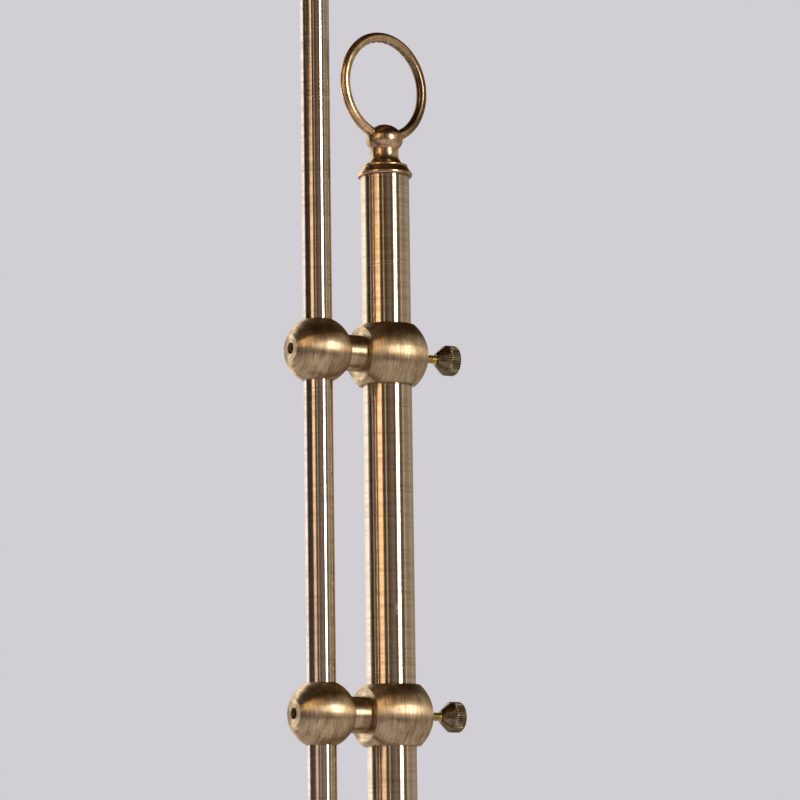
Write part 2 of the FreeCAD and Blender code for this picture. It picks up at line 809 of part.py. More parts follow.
def knuckle_half(label):
    """One half of the knuckle: a hollow drum on the pivot and the stem that carries it."""
    body = new_body(label)
    near = "drum_gap / 2"
    far = joined(near, "drum_depth")
    floor = joined(near, "drum_hollow_depth")
    pin_hole = joined("pin_radius", "fit_gap")
    drum = outline(body, "drum", "XY_Plane", [
        (pin_hole, near),
        ("drum_hub_radius", near),
        ("drum_hub_radius", floor),
        ("drum_hollow_radius", floor),
        ("drum_hollow_radius", near),
        ("drum_radius", near),
        ("drum_radius", far),
        (pin_hole, far),
    ])
    revolve(body, drum, "V_Axis")

    root = "sqrt(drum_radius ^ 2 - stem_radius ^ 2)"
    chord = "sqrt(stem_radius ^ 2 - (drum_gap / 2) ^ 2)"
    neck = outline(body, "neck", "XY_Plane", [
        (less(chord), near, "stem_radius", LEFT),
        (chord, near),
    ], root)
    pad(body, neck, joined("knuckle_reach", less(root)))
    stem = circles(body, "stem", "XY_Plane", [("0", "0", "stem_radius")], "knuckle_reach")
    pad(body, stem, "stem_length")

    stem_top = joined("knuckle_reach", "stem_length")
    drill(body, "seat", "XY_Plane", stem_top, joined("nipple_radius", "fit_gap"), "nipple_seat")
    way = joined(near, "drum_hollow_depth / 2")
    drill(body, "way", "XY_Plane", stem_top, "wire_hole", joined(stem_top, "-wire_hole_end"), up=way)
    return body


def make_knuckle():
    """Two halves on a screw, with a washer between them and a nut on the far side."""
    sideways = FreeCAD.Vector(1, 0, 0)
    upper = place(knuckle_half("knuckle_upper"), head_across, pivot_height)
    lower = place(knuckle_half("knuckle_lower"), head_across, pivot_height, HALF_TURN, sideways)

    near = "drum_gap / 2"
    face = joined(near, "drum_depth")
    back = less(joined(face, "face_gap", "pin_nut_height", "pin_tail"))
    pin = turned_part("knuckle_screw", [
        ("0", back),
        ("pin_radius", back),
        ("pin_radius", face),
        ("pin_head_radius", face),
        ("pin_head_radius", joined(face, "pin_head_height")),
        ("0", joined(face, "pin_head_height")),
    ], "V_Axis", "XY_Plane")
    half_slot = "pin_slot_width / 2"
    slot = outline(pin, "slot", "YZ_Plane", [
        (joined(face, "pin_head_height", "-pin_slot_depth"), less(half_slot)),
        (joined(face, "2 * pin_head_height"), less(half_slot)),
        (joined(face, "2 * pin_head_height"), half_slot),
        (joined(face, "pin_head_height", "-pin_slot_depth"), half_slot),
    ])
    cut(pin, slot, "4 * pin_head_radius", both=True)
    place(pin, head_across, pivot_height)

    inside = joined("pin_radius", "fit_gap")
    washer_edge = joined("face_gap", less(near))
    washer = turned_part("knuckle_washer", [
        (inside, washer_edge),
        ("pin_washer_radius", washer_edge),
        ("pin_washer_radius", near),
        (inside, near),
    ], "V_Axis", "XY_Plane")
    place(washer, head_across, pivot_height)

    nut_face = less(joined(face, "face_gap"))
    nut_back = less(joined(face, "face_gap", "pin_nut_height"))
    nut = turned_part("knuckle_nut", [
        (inside, nut_back),
        (joined("pin_head_radius", "-knob_chamfer"), nut_back),
        ("pin_head_radius", joined(nut_back, "knob_chamfer"), "knob_chamfer", LEFT),
        ("pin_head_radius", nut_face),
        (inside, nut_face),
    ], "V_Axis", "XY_Plane")
    place(nut, head_across, pivot_height)
    return [upper, lower, pin, washer, nut]


# ---------------------------------------------------------------- lamp head

def make_head():
    """Lampholder, bulb and shade, hanging from the knuckle's lower stem."""
    made = []
    top = less(joined("knuckle_reach", "stem_length"))

    def below(*lengths):
        """A height that lies the given lengths below the end of the knuckle's stem."""
        return joined(top, less(joined(*lengths)))

    made.append(ring_part("holder_nipple", "nipple_bore", joined("nipple_radius", "-fit_gap"),
                          below("cap_boss_depth"), joined(top, "nipple_seat")))

    cap_in = joined("cap_radius", "-cap_wall")
    made.append(turned_part("holder_cap", [
        ("nipple_radius", top),
        ("nipple_radius", below("cap_boss_depth")),
        ("cap_boss_radius", below("cap_boss_depth")),
        ("cap_boss_radius", below("cap_wall")),
        (cap_in, below("cap_dome"), joined("cap_arc", "-cap_wall"), RIGHT),
        (cap_in, below("cap_height")),
        ("cap_radius", below("cap_height")),
        ("cap_radius", below("cap_dome")),
        ("cap_crown_radius", top, "cap_arc", LEFT),
    ]))

    shell_foot = below("cap_height", "shell_length")
    flange_top = below("cap_height", "shell_side")
    flange_foot = below("cap_height", "shell_side", "shell_flange")
    ledge = below("cap_height", "insert_ledge")
    thread_bore = joined("shell_thread_radius", "-shell_wall")
    insert_bore = joined(thread_bore, "insert_seat")
    made.append(turned_part("holder_shell", [
        (thread_bore, shell_foot),
        ("shell_thread_radius", shell_foot),
        ("shell_thread_radius", flange_foot),
        ("shell_flange_radius", flange_foot),
        ("shell_flange_radius", joined(flange_top, "-shell_flange_slope")),
        ("cap_radius", flange_top),
        ("cap_radius", below("cap_height")),
        (insert_bore, below("cap_height")),
        (insert_bore, ledge),
        (thread_bore, ledge),
    ]))

    insert_edge = joined(insert_bore, "-2 * fit_gap")
    insert_rim = joined(insert_edge, "-insert_rim")
    floor = joined(ledge, "insert_rim_height")
    made.append(turned_part("holder_insert", [
        ("insert_wire_hole", floor),
        (insert_rim, floor),
        (insert_rim, ledge),
        (insert_edge, ledge),
        (insert_edge, below("cap_height", "insert_drop")),
        ("insert_wire_hole", below("cap_height", "insert_drop")),
    ]))

    sleeve_in = joined("sleeve_radius", "-sleeve_wall")
    made.append(ring_part("holder_sleeve", sleeve_in, "sleeve_radius",
                          joined(floor, "-sleeve_length"), floor))

    tongue = new_body("centre_contact")
    half = "tongue_length / 2"
    crown = "tongue_crown / 2"
    ease = "tongue_thickness / 4"
    tongue_foot = joined(floor, "-tongue_thickness")
    bend = outline(tongue, "bend", "XZ_Plane", [
        (less(half), floor),
        (less(half), tongue_foot),
        (less(crown), joined(tongue_foot, "-tongue_rise")),
        (crown, joined(tongue_foot, "-tongue_rise")),
        (half, tongue_foot),
        (half, floor),
        (joined(half, "-tongue_thickness"), floor),
        (joined(crown, less(ease)), joined(floor, "-tongue_rise")),
        (joined(less(crown), ease), joined(floor, "-tongue_rise")),
        (joined(less(half), "tongue_thickness"), floor),
    ])
    pad(tongue, bend, "tongue_width", both=True)
    made.append(tongue)

    button = joined(tongue_foot, "-tongue_rise", "-tip_gap")
    base_foot = joined(button, "-bulb_base_height")
    cap_foot = joined(base_foot, "-bulb_cap_length")
    made.append(turned_part("bulb_contact", [
        ("0", joined(base_foot, "-bulb_base_seat")),
        (joined("bulb_base_radius", "-fit_gap"), joined(base_foot, "-bulb_base_seat")),
        (joined("bulb_base_radius", "-fit_gap"), base_foot),
        ("bulb_button_radius", button),
        ("0", button),
    ]))

    cap_inside = joined("bulb_cap_radius", "-bulb_cap_wall")
    made.append(turned_part("bulb_cap", [
        ("bulb_base_radius", base_foot),
        ("bulb_base_radius", joined(base_foot, "-bulb_cap_wall")),
        (joined("bulb_cap_mouth", "-bulb_cap_wall / 2"), joined(base_foot, "-bulb_cap_wall")),
        (cap_inside, joined(base_foot, "-bulb_cap_taper", "-bulb_cap_wall / 2")),
        (cap_inside, cap_foot),
        ("bulb_cap_radius", cap_foot),
        ("bulb_cap_radius", joined(base_foot, "-bulb_cap_taper")),
        ("bulb_cap_mouth", base_foot),
    ]))

    made.append(make_bulb_glass(cap_foot, cap_inside))
    made.append(make_shade(flange_foot))

    nut_top = joined(flange_foot, "-shade_wall")
    nut_bore = joined("shell_thread_radius", "fit_gap")
    shade_ring = ring_part("shade_ring", nut_bore, "shade_ring_radius",
                           joined(nut_top, "-shade_ring_height"), nut_top)
    grip = circles(shade_ring, "grip", "XY_Plane", [("shade_ring_radius", "0", "shade_ring_grip")], nut_top)
    repeat(shade_ring, cut(shade_ring, grip, "shade_ring_height"), "Z_Axis", "shade_ring_grips")
    made.append(shade_ring)

    for body in made:
        place(body, head_across, pivot_height)
    return made


def make_bulb_glass(cap_foot, cap_inside):
    """The blown glass: a neck in the cap, a throat and a round end, with an even wall."""
    neck = joined(cap_inside, "-bulb_neck_play")
    neck_in = joined(neck, "-bulb_wall")
    throat_in = joined("bulb_throat_radius", "-bulb_wall")
    throat_foot = joined(cap_foot, "-bulb_throat")
    reach = "(bulb_radius * cos(bulb_join_angle))"
    waist = "((%s - bulb_throat_radius) / (1 - cos(bulb_join_angle)))" % reach
    waist_in = joined(waist, "bulb_wall")
    centre = joined(throat_foot, less("(bulb_radius + %s) * sin(bulb_join_angle)" % waist))
    join_foot = joined(centre, "bulb_radius * sin(bulb_join_angle)")
    inner = joined("bulb_radius", "-bulb_wall")
    inner_reach = joined(inner + " * cos(bulb_join_angle)")
    inner_join = joined(centre, inner + " * sin(bulb_join_angle)")
    return turned_part("bulb_glass", [
        ("0", joined(centre, "-bulb_radius")),
        ("bulb_radius", centre, "bulb_radius", LEFT),
        (reach, join_foot, "bulb_radius", LEFT),
        ("bulb_throat_radius", throat_foot, waist, RIGHT),
        (neck, cap_foot),
        (neck, joined(cap_foot, "bulb_neck_seat")),
        (neck_in, joined(cap_foot, "bulb_neck_seat")),
        (neck_in, cap_foot),
        (throat_in, throat_foot),
        (inner_reach, inner_join, waist_in, LEFT),
        (inner, centre, inner, RIGHT),
        ("0", joined(centre, less(inner)), inner, RIGHT),
    ])


def make_shade(flange_foot):
    """The spun shade: a flat top on the holder's flange, a round shoulder, a skirt and a beaded rim."""
    hole = joined("shell_thread_radius", "shade_hole_play")
    inside_top = joined(flange_foot, "-shade_wall")
    shoulder_out = joined("shade_top_radius", "shade_shoulder")
    shoulder_foot = joined(flange_foot, "-shade_shoulder")
    skirt_foot = joined(shoulder_foot, "-shade_skirt")
    mouth_radius = joined("shade_skirt_radius", "shade_flare_run")
    flare_foot = joined(skirt_foot, "-shade_flare")
    bead_foot = joined(flare_foot, "-shade_bead_height")
    flare_inside = joined("shade_flare_arc", "shade_wall")
    return turned_part("shade", [
        (hole, inside_top),
        ("shade_top_radius", inside_top),
        (joined(shoulder_out, "-shade_wall"), joined(shoulder_foot, "-shade_wall / 2"),
         joined("shade_shoulder", "-shade_wall"), RIGHT),
        (joined("shade_skirt_radius", "-shade_wall"), joined(skirt_foot, "-shade_wall / 2")),
        (joined(mouth_radius, "-shade_wall"), flare_foot, flare_inside, LEFT),
        (joined(mouth_radius, "-shade_wall"), bead_foot),
        (mouth_radius, bead_foot),
        (mouth_radius, flare_foot, "shade_bead", LEFT),
        ("shade_skirt_radius", skirt_foot, "shade_flare_arc", RIGHT),
        (shoulder_out, shoulder_foot),
        ("shade_top_radius", flange_foot, "shade_shoulder", LEFT),
        (hole, flange_foot),
    ])


# ---------------------------------------------------------------- the whole lamp

pieces = make_foot() + make_upright() + make_rod()
clamps = {"upper": upper_clamp, "lower": lower_clamp}
studs = []
grubs = []
for level, height in clamps.items():
    clamp = make_clamp(level, height)
    pieces += clamp["balls"] + make_thumb_screw(level, height)
    studs.append(clamp["stud"])
    grubs.append(clamp["grub"])
pieces.append(group("joining_studs", studs))
pieces.append(group("grub_screws", grubs))
pieces += make_knuckle() + make_head()
document.recompute()

for item in document.Objects:
    if "Invalid" in item.State or "Error" in item.State:
        raise RuntimeError(item.Label + " failed: " + str(item.State))
for piece in pieces:
    if piece.Shape.isNull() or not piece.Shape.isValid():
        raise RuntimeError(piece.Label + " has no valid shape")

os.makedirs("parts", exist_ok=True)
for piece in pieces:
    piece.Shape.exportStep("parts/" + piece.Label + ".step")
print(len(pieces), "pieces written")
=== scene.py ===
import json
import math

import bmesh
import bpy
import numpy as np
from mathutils import Matrix, Vector

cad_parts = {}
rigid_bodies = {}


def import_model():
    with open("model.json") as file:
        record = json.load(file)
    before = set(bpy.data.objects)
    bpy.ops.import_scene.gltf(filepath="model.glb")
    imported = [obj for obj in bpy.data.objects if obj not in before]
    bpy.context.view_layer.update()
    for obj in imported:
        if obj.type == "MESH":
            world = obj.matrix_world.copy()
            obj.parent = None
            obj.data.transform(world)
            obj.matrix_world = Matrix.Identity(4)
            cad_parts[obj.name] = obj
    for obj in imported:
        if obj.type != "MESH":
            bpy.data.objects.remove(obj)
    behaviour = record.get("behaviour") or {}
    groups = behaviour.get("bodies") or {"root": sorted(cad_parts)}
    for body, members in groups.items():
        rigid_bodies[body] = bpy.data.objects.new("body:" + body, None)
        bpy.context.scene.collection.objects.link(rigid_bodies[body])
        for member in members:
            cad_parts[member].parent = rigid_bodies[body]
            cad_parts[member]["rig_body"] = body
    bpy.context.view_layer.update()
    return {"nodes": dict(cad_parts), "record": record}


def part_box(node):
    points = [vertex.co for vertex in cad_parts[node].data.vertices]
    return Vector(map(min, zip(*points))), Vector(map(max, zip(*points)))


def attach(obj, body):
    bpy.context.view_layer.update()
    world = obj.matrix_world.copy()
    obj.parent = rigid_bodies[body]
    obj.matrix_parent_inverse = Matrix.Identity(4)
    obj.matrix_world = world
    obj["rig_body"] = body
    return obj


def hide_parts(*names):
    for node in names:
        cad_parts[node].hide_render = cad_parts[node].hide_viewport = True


# Bridge floor lamp in antique brushed brass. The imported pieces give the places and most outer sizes;
# the turned, bent and threaded pieces that show are made again here with finer meshes. Sizes of pieces
# are in millimetres, and those of the stage and of materials in metres.

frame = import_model()

MM = 0.001
TAU = 2 * math.pi
# The side of the way along an outline on which an arc's centre lies.
LEFT = 1
RIGHT = -1

# ---------------------------------------------------------------- camera, from the picture

ORBIT = 31.3                    # degrees that the camera stands to the left of the lamp's front
CAMERA_DISTANCE = 1.7031        # metres from the upright's axis
CAMERA_HEIGHT = 0.74745
CAMERA_PITCH = 8.22             # degrees, looking up
CAMERA_ROLL = -0.765
CAMERA_YAW = -0.187
FOCAL_PIXELS = 3846.7
PICTURE_PIXELS = 800
SENSOR_MM = 36.0
CLIP_START = 0.05
CLIP_END = 200.0

PALE = (0.638, 0.617, 0.658)    # the studio behind the lamp
FLOOR_COLOUR = (0.83, 0.81, 0.83)
FLOOR_ROUGHNESS = 0.85
FLOOR_HALF = 30.0
FLOOR_DROP = 0.0002

# Lamps and reflection cards stand round the upright. Angles are degrees to the camera's right,
# seen from the upright: 0 is the camera, 90 is to its right and 180 is behind the lamp.
# name: (from, to, lowest and highest edge in metres, distance, radiance)
STRIP_LAMPS = {
    "key_strip": (39.5, 51.5, 0.45, 2.75, 2.60, (3.6, 3.8, 4.3)),
    "key_patch": (41.0, 52.0, 1.00, 1.95, 2.50, (27.0, 26.5, 25.5)),
    "warm_strip": (-52.0, -29.0, 1.36, 2.90, 2.60, (3.9, 2.75, 1.70)),
    "cool_strip": (-47.0, -29.0, 0.45, 1.30, 2.60, (0.95, 0.92, 1.10)),
}
CARD_DISTANCE = 3.0
CARD_TOP = 3.6
CARD_STRETCH = 6.0              # degrees to each flat stretch of a card
# name: (from, to, radiance), each from the floor up to the ceiling card
CARDS = {
    "card_behind_left": (-168.0, -111.0, (2.30, 2.45, 2.80)),
    "card_far_left": (-104.0, -57.0, (0.030, 0.022, 0.015)),
    "card_left": (-57.0, -22.0, (0.055, 0.036, 0.022)),
    "card_line": (-13.0, -8.5, (1.00, 0.98, 0.85)),
    "card_brown_far": (-22.0, -13.0, (0.070, 0.042, 0.022)),
    "card_brown": (-8.5, 3.0, (0.090, 0.056, 0.030)),
    "card_brown_light": (3.0, 12.0, (0.20, 0.135, 0.085)),
    "card_mauve": (12.0, 27.0, (0.29, 0.235, 0.215)),
    "card_gap": (27.0, 57.0, (0.070, 0.050, 0.035)),
    "card_olive": (57.0, 73.0, (0.120, 0.105, 0.062)),
    "card_tan": (73.0, 80.0, (0.98, 0.90, 0.80)),
    "card_khaki": (80.0, 112.0, (0.47, 0.43, 0.35)),
}
CEILING_RADIANCE = (0.050, 0.030, 0.016)
CEILING_HALF = 4.2
FILL_WATTS = 48.0
FILL_SIZE = 3.0
FILL_PLACE = (-1.2, -2.0, 3.4)
FILL_TARGET = (0.0, 0.0, 0.6)


def around(angle, distance, height):
    """A point at an angle to the camera's right, seen from the upright."""
    turn = math.radians(ORBIT)
    toward = Vector((-math.sin(turn), -math.cos(turn), 0.0))
    right = Vector((math.cos(turn), -math.sin(turn), 0.0))
    angle = math.radians(angle)
    flat = toward * math.cos(angle) + right * math.sin(angle)
    return flat * distance + Vector((0.0, 0.0, height))


def link(item):
    bpy.context.scene.collection.objects.link(item)
    return item


def make_camera():
    """The camera of the picture: a long lens, a little below the clamps and looking up."""
    yaw = math.radians(CAMERA_YAW)
    pitch = math.radians(CAMERA_PITCH)
    roll = math.radians(CAMERA_ROLL)
    level = Vector((math.cos(yaw), math.sin(yaw), 0.0))
    look = Vector((-math.sin(yaw) * math.cos(pitch), math.cos(yaw) * math.cos(pitch), math.sin(pitch)))
    upward = level.cross(look)
    right = level * math.cos(roll) + upward * math.sin(roll)
    up = upward * math.cos(roll) - level * math.sin(roll)
    pose = Matrix((right, up, -look)).transposed().to_4x4()
    pose.translation = Vector((0.0, -CAMERA_DISTANCE, CAMERA_HEIGHT))
    data = bpy.data.cameras.new("camera")
    data.sensor_width = SENSOR_MM
    data.lens = SENSOR_MM * FOCAL_PIXELS / PICTURE_PIXELS
    data.clip_start = CLIP_START
    data.clip_end = CLIP_END
    camera = link(bpy.data.objects.new("camera", data))
    camera.matrix_world = Matrix.Rotation(-math.radians(ORBIT), 4, "Z") @ pose
    bpy.context.scene.camera = camera


# ---------------------------------------------------------------- stage and light

def only_in_reflections(item):
    """A card that polished metal sees, and nothing else."""
    item.visible_camera = False
    item.visible_diffuse = False
    item.visible_shadow = False
    item.visible_transmission = False
    item.visible_volume_scatter = False


def glow(name, radiance):
    """A plain emitting material that isn't used as a lamp."""
    material = bpy.data.materials.new(name)
    material.use_nodes = True
    nodes = material.node_tree.nodes
    nodes.clear()
    emission = nodes.new("ShaderNodeEmission")
    emission.inputs["Color"].default_value = (*radiance, 1.0)
    output = nodes.new("ShaderNodeOutputMaterial")
    material.node_tree.links.new(emission.outputs[0], output.inputs["Surface"])
    material.cycles.emission_sampling = "NONE"
    return material


def stage_mesh(name, points, faces, material):
    mesh = bpy.data.meshes.new(name)
    mesh.from_pydata(points, [], faces)
    mesh.materials.append(material)
    item = link(bpy.data.objects.new(name, mesh))
    return item


def stage_square(name, half, height, material):
    """A level square round the upright."""
    corners = [(x, y, height) for x, y in ((-half, -half), (half, -half), (half, half), (-half, half))]
    return stage_mesh(name, corners, [(0, 1, 2, 3)], material)


def make_card(name, start, end, radiance):
    """A bent card from one angle to another."""
    count = max(1, round((end - start) / CARD_STRETCH))
    angles = [start + (end - start) * step / count for step in range(count + 1)]
    low = [tuple(around(angle, CARD_DISTANCE, 0.0)) for angle in angles]
    high = [tuple(around(angle, CARD_DISTANCE, CARD_TOP)) for angle in angles]
    faces = [(i, i + 1, count + 2 + i, count + 1 + i) for i in range(count)]
    only_in_reflections(stage_mesh(name, low + high, faces, glow(name, radiance)))


def make_strip_lamp(name, start, end, low, high, distance, radiance):
    """A tall flat lamp that faces the upright, shows in metal and lights nothing matt."""
    peak = max(radiance)
    data = bpy.data.lights.new(name, "AREA")
    data.shape = "RECTANGLE"
    data.size = 2 * distance * math.tan(math.radians(end - start) / 2)
    data.size_y = high - low
    data.color = [value / peak for value in radiance]
    data.energy = peak * math.pi * data.size * data.size_y
    lamp = link(bpy.data.objects.new(name, data))
    lamp.location = around((start + end) / 2, distance, (low + high) / 2)
    flat = Vector((lamp.location.x, lamp.location.y, 0.0))
    lamp.rotation_euler = flat.to_track_quat("Z", "Y").to_euler()
    lamp.visible_camera = False
    lamp.visible_diffuse = False


def make_studio():
    """The pale world, the floor and the view transform."""
    scene = bpy.context.scene
    scene.view_settings.view_transform = "Standard"
    world = bpy.data.worlds.new("studio")
    world.use_nodes = True
    world.node_tree.nodes["Background"].inputs["Color"].default_value = (*PALE, 1.0)
    scene.world = world

    paint = bpy.data.materials.new("floor_paint")
    paint.use_nodes = True
    shader = paint.node_tree.nodes["Principled BSDF"]
    shader.inputs["Base Color"].default_value = (*FLOOR_COLOUR, 1.0)
    shader.inputs["Roughness"].default_value = FLOOR_ROUGHNESS
    stage_square("floor", FLOOR_HALF, -FLOOR_DROP, paint)


def make_soft_fill():
    """A wide lamp from above that no metal mirrors."""
    fill = bpy.data.lights.new("soft_fill", "AREA")
    fill.size = FILL_SIZE
    fill.energy = FILL_WATTS
    lamp = link(bpy.data.objects.new("soft_fill", fill))
    lamp.location = FILL_PLACE
    lamp.rotation_euler = (Vector(FILL_PLACE) - Vector(FILL_TARGET)).to_track_quat("Z", "Y").to_euler()
    lamp.visible_glossy = False
    lamp.visible_camera = False


def make_stage():
    make_studio()
    ceiling = stage_square("card_ceiling", CEILING_HALF, CARD_TOP, glow("card_ceiling", CEILING_RADIANCE))
    only_in_reflections(ceiling)
    for name, card in CARDS.items():
        make_card(name, *card)
    for name, strip in STRIP_LAMPS.items():
        make_strip_lamp(name, *strip)
    make_soft_fill()


# ---------------------------------------------------------------- materials

class Nodes:
    """A short way to write a material's nodes."""

    def __init__(self, name):
        self.material = bpy.data.materials.new(name)
        self.material.use_nodes = True
        self.tree = self.material.node_tree
        self.shader = self.tree.nodes["Principled BSDF"]

    def add(self, kind, **settings):
        node = self.tree.nodes.new("ShaderNode" + kind)
        for key, value in settings.items():
            setattr(node, key, value)
        return node

    def join(self, source, target):
        self.tree.links.new(source, target)

    def fixed(self, name, value):
        """A value that is the same all over, on the shader's own socket."""
        self.shader.inputs[name].default_value = value

    def place(self, kind, stretch):
        """The surface's own coordinates, each multiplied by its stretch."""
        source = self.add("TexCoord").outputs[kind]
        mapping = self.add("Mapping")
        mapping.inputs["Scale"].default_value = stretch
        self.join(source, mapping.inputs["Vector"])
        return mapping.outputs["Vector"]

    def noise(self, where, scale, detail=2.0, roughness=0.5, distortion=0.0):
        node = self.add("TexNoise")
        node.inputs["Scale"].default_value = scale
        node.inputs["Detail"].default_value = detail
        node.inputs["Roughness"].default_value = roughness
        node.inputs["Distortion"].default_value = distortion
        self.join(where, node.inputs["Vector"])
        return node.outputs["Fac"]

    def span(self, value, low, high, to_low=0.0, to_high=1.0):
        """The value, spread from one range to another and held at its ends."""
        node = self.add("MapRange")
        node.inputs["From Min"].default_value = low
        node.inputs["From Max"].default_value = high
        node.inputs["To Min"].default_value = to_low
        node.inputs["To Max"].default_value = to_high
        self.join(value, node.inputs["Value"])
        return node.outputs["Result"]

    def maths(self, operation, first, second):
        node = self.add("Math", operation=operation)
        for socket, value in zip(node.inputs, (first, second)):
            if isinstance(value, (int, float)):
                socket.default_value = value
            else:
                self.join(value, socket)
        return node.outputs["Value"]

    def blend(self, share, first, second):
        """One colour changed towards another by a share."""
        node = self.add("Mix", data_type="RGBA")
        sockets = [socket for socket in node.inputs if socket.enabled]
        for socket, value in zip(sockets, (share, first, second)):
            if isinstance(value, tuple):
                socket.default_value = (*value, 1.0)
            else:
                self.join(value, socket)
        return [socket for socket in node.outputs if socket.enabled][0]

    def bump(self, height, distance):
        node = self.add("Bump")
        node.inputs["Strength"].default_value = 1.0
        node.inputs["Distance"].default_value = distance
        self.join(height, node.inputs["Height"])
        return node.outputs["Normal"]

    def split(self, vector):
        node = self.add("SeparateXYZ")
        self.join(vector, node.inputs[0])
        return node.outputs

    def apart(self, value, middle):
        """How far a value is from its middle, either way."""
        return self.maths("ABSOLUTE", self.maths("SUBTRACT", value, middle), 0.0)


# The upright's scratches: height, angle to the camera's right, half their width and half their height.
POST_SCRATCHES = ((1.0536, -8.0, 0.0075, 0.00025), (0.8990, 14.0, 0.0012, 0.0032))
POST_RADIUS = 0.011
SCRATCH_CORE_ACROSS = 0.7       # shares of a scratch's size that are full, before it fades
SCRATCH_CORE_UP = 0.6
SCRATCH_GRAIN = (900.0, 900.0, 900.0)
SCRATCH_GRAIN_RANGE = (0.40, 0.60, 0.15, 0.9)
SCRATCH_ROUGHNESS = 0.25


def scratch(nodes, height, angle, width, tall):
    """A patch of fine marks on the upright: 1 in the marks and 0 elsewhere."""
    places = nodes.split(nodes.add("TexCoord").outputs["Object"])
    middle = around(angle, POST_RADIUS, height)
    near = nodes.maths("ADD", nodes.apart(places["X"], middle.x), nodes.apart(places["Y"], middle.y))
    aside = nodes.span(near, width * SCRATCH_CORE_ACROSS, width, 1.0, 0.0)
    level = nodes.span(nodes.apart(places["Z"], height), tall * SCRATCH_CORE_UP, tall, 1.0, 0.0)
    grain = nodes.noise(nodes.place("Object", SCRATCH_GRAIN), 1.0, detail=1.0)
    marks = nodes.span(grain, *SCRATCH_GRAIN_RANGE)
    return nodes.maths("MULTIPLY", nodes.maths("MULTIPLY", aside, level), marks)


GRAZING = (0.62, 0.56, 0.50)    # the metal's tint where it is seen edge on
# Ranges of the noises that become the brush lines, clouds and specks of brushed metal.
FINE_TONE = (0.36, 0.66)
FINE_DARK = (0.54, 0.68)
WIDE_DARK = (0.46, 0.72)
WIDE_ROUGH = (0.25, 0.80)
CLOUD_DARK = (0.38, 0.72)
SPECK_DARK = (0.60, 0.72)
WIDE_ACROSS = 0.22              # the wide lines' stretch, as shares of the fine lines'
WIDE_ALONG = 0.6
WIDE_HEIGHT = 1.4
SPECKS_TO_CLOUD = 14
SPECK_SHARE = 0.5
# How dark the painted shade on one side of a piece gets, at its darkest.
PAINTED_SHADING_SHARE = 0.85
ROUGH_BELOW = 0.018
ROUGH_ABOVE = 0.025


def brushed_metal(name, tone, deep, light, rough, along=0.0, line_pitch=0.00045, line_length=0.020,
                  line_depth=0.000006, patina=0.35, cloud_size=0.030, scratches=(), turned=True,
                  lines=0.35, worn_from=None):
    """Brushed and aged metal.

    The brush lines run round a turned piece, across its profile, so that highlights are drawn out
    along the profile. tone is the clean metal, deep the dark in its lines and hollows, light its rubbed
    places. worn_from is the range across x over which one side is painted darker: painted shade.
    """
    nodes = Nodes(name)
    nodes.fixed("Metallic", 1.0)
    nodes.fixed("Specular Tint", (*GRAZING, 1.0))
    kind = "UV" if turned else "Object"
    first = 1 / line_pitch if turned else 1 / line_length
    lines_at = nodes.place(kind, (first, 1 / line_length, 1 / line_pitch))
    fine = nodes.noise(lines_at, 1.0, detail=3.0, roughness=0.62)
    wide_at = nodes.place(kind, (WIDE_ACROSS * first, WIDE_ALONG / line_length, WIDE_ACROSS / line_pitch))
    wide = nodes.noise(wide_at, 1.0, detail=2.0, roughness=0.55)
    clouds_at = nodes.place("Object", (1.0, 1.0, 1.0))
    clouds = nodes.noise(clouds_at, 1 / cloud_size, detail=5.0, roughness=0.62, distortion=0.6)
    specks = nodes.noise(clouds_at, SPECKS_TO_CLOUD / cloud_size, detail=2.0, roughness=0.5)

    colour = nodes.blend(nodes.span(fine, *FINE_TONE), light, tone)
    darkening = [
        nodes.span(fine, *FINE_DARK, 0.0, lines),
        nodes.span(wide, *WIDE_DARK, 0.0, lines),
        nodes.span(clouds, *CLOUD_DARK, 0.0, patina),
        nodes.span(specks, *SPECK_DARK, 0.0, SPECK_SHARE * patina),
    ]
    # Painted shade: the piece is painted darker towards +x, as if less light fell on that side.
    if worn_from is not None:
        darkening.append(nodes.span(nodes.split(clouds_at)["X"], *worn_from, 0.0, PAINTED_SHADING_SHARE))
    for share in darkening:
        colour = nodes.blend(share, colour, deep)
    roughness = nodes.span(wide, *WIDE_ROUGH, rough - ROUGH_BELOW, rough + ROUGH_ABOVE)
    for place_of_marks in scratches:
        marks = scratch(nodes, *place_of_marks)
        colour = nodes.blend(marks, colour, light)
        roughness = nodes.maths("ADD", roughness, nodes.maths("MULTIPLY", marks, SCRATCH_ROUGHNESS))
    height = nodes.maths("ADD", fine, nodes.maths("MULTIPLY", wide, WIDE_HEIGHT))
    nodes.join(colour, nodes.shader.inputs["Base Color"])
    nodes.join(roughness, nodes.shader.inputs["Roughness"])
    nodes.join(nodes.bump(height, line_depth), nodes.shader.inputs["Normal"])
    if turned and along:
        nodes.fixed("Anisotropic", along)
        tangent = nodes.add("Tangent", direction_type="UV_MAP", uv_map="turning")
        nodes.join(tangent.outputs["Tangent"], nodes.shader.inputs["Tangent"])
    return nodes.material


# Ranges of the noises that become a plain material's grain, clouds and roughness.
GRAIN_TONE = (0.3, 0.7)
SOFT_CLOUDS = (0.25, 0.7, 0.35, 1.0)
CLOUDS_TO_GRAIN = 0.12
GRAIN_ROUGH = (0.2, 0.8)
GRAIN_SMOOTHER = 0.06
GRAIN_ROUGHER = 0.08


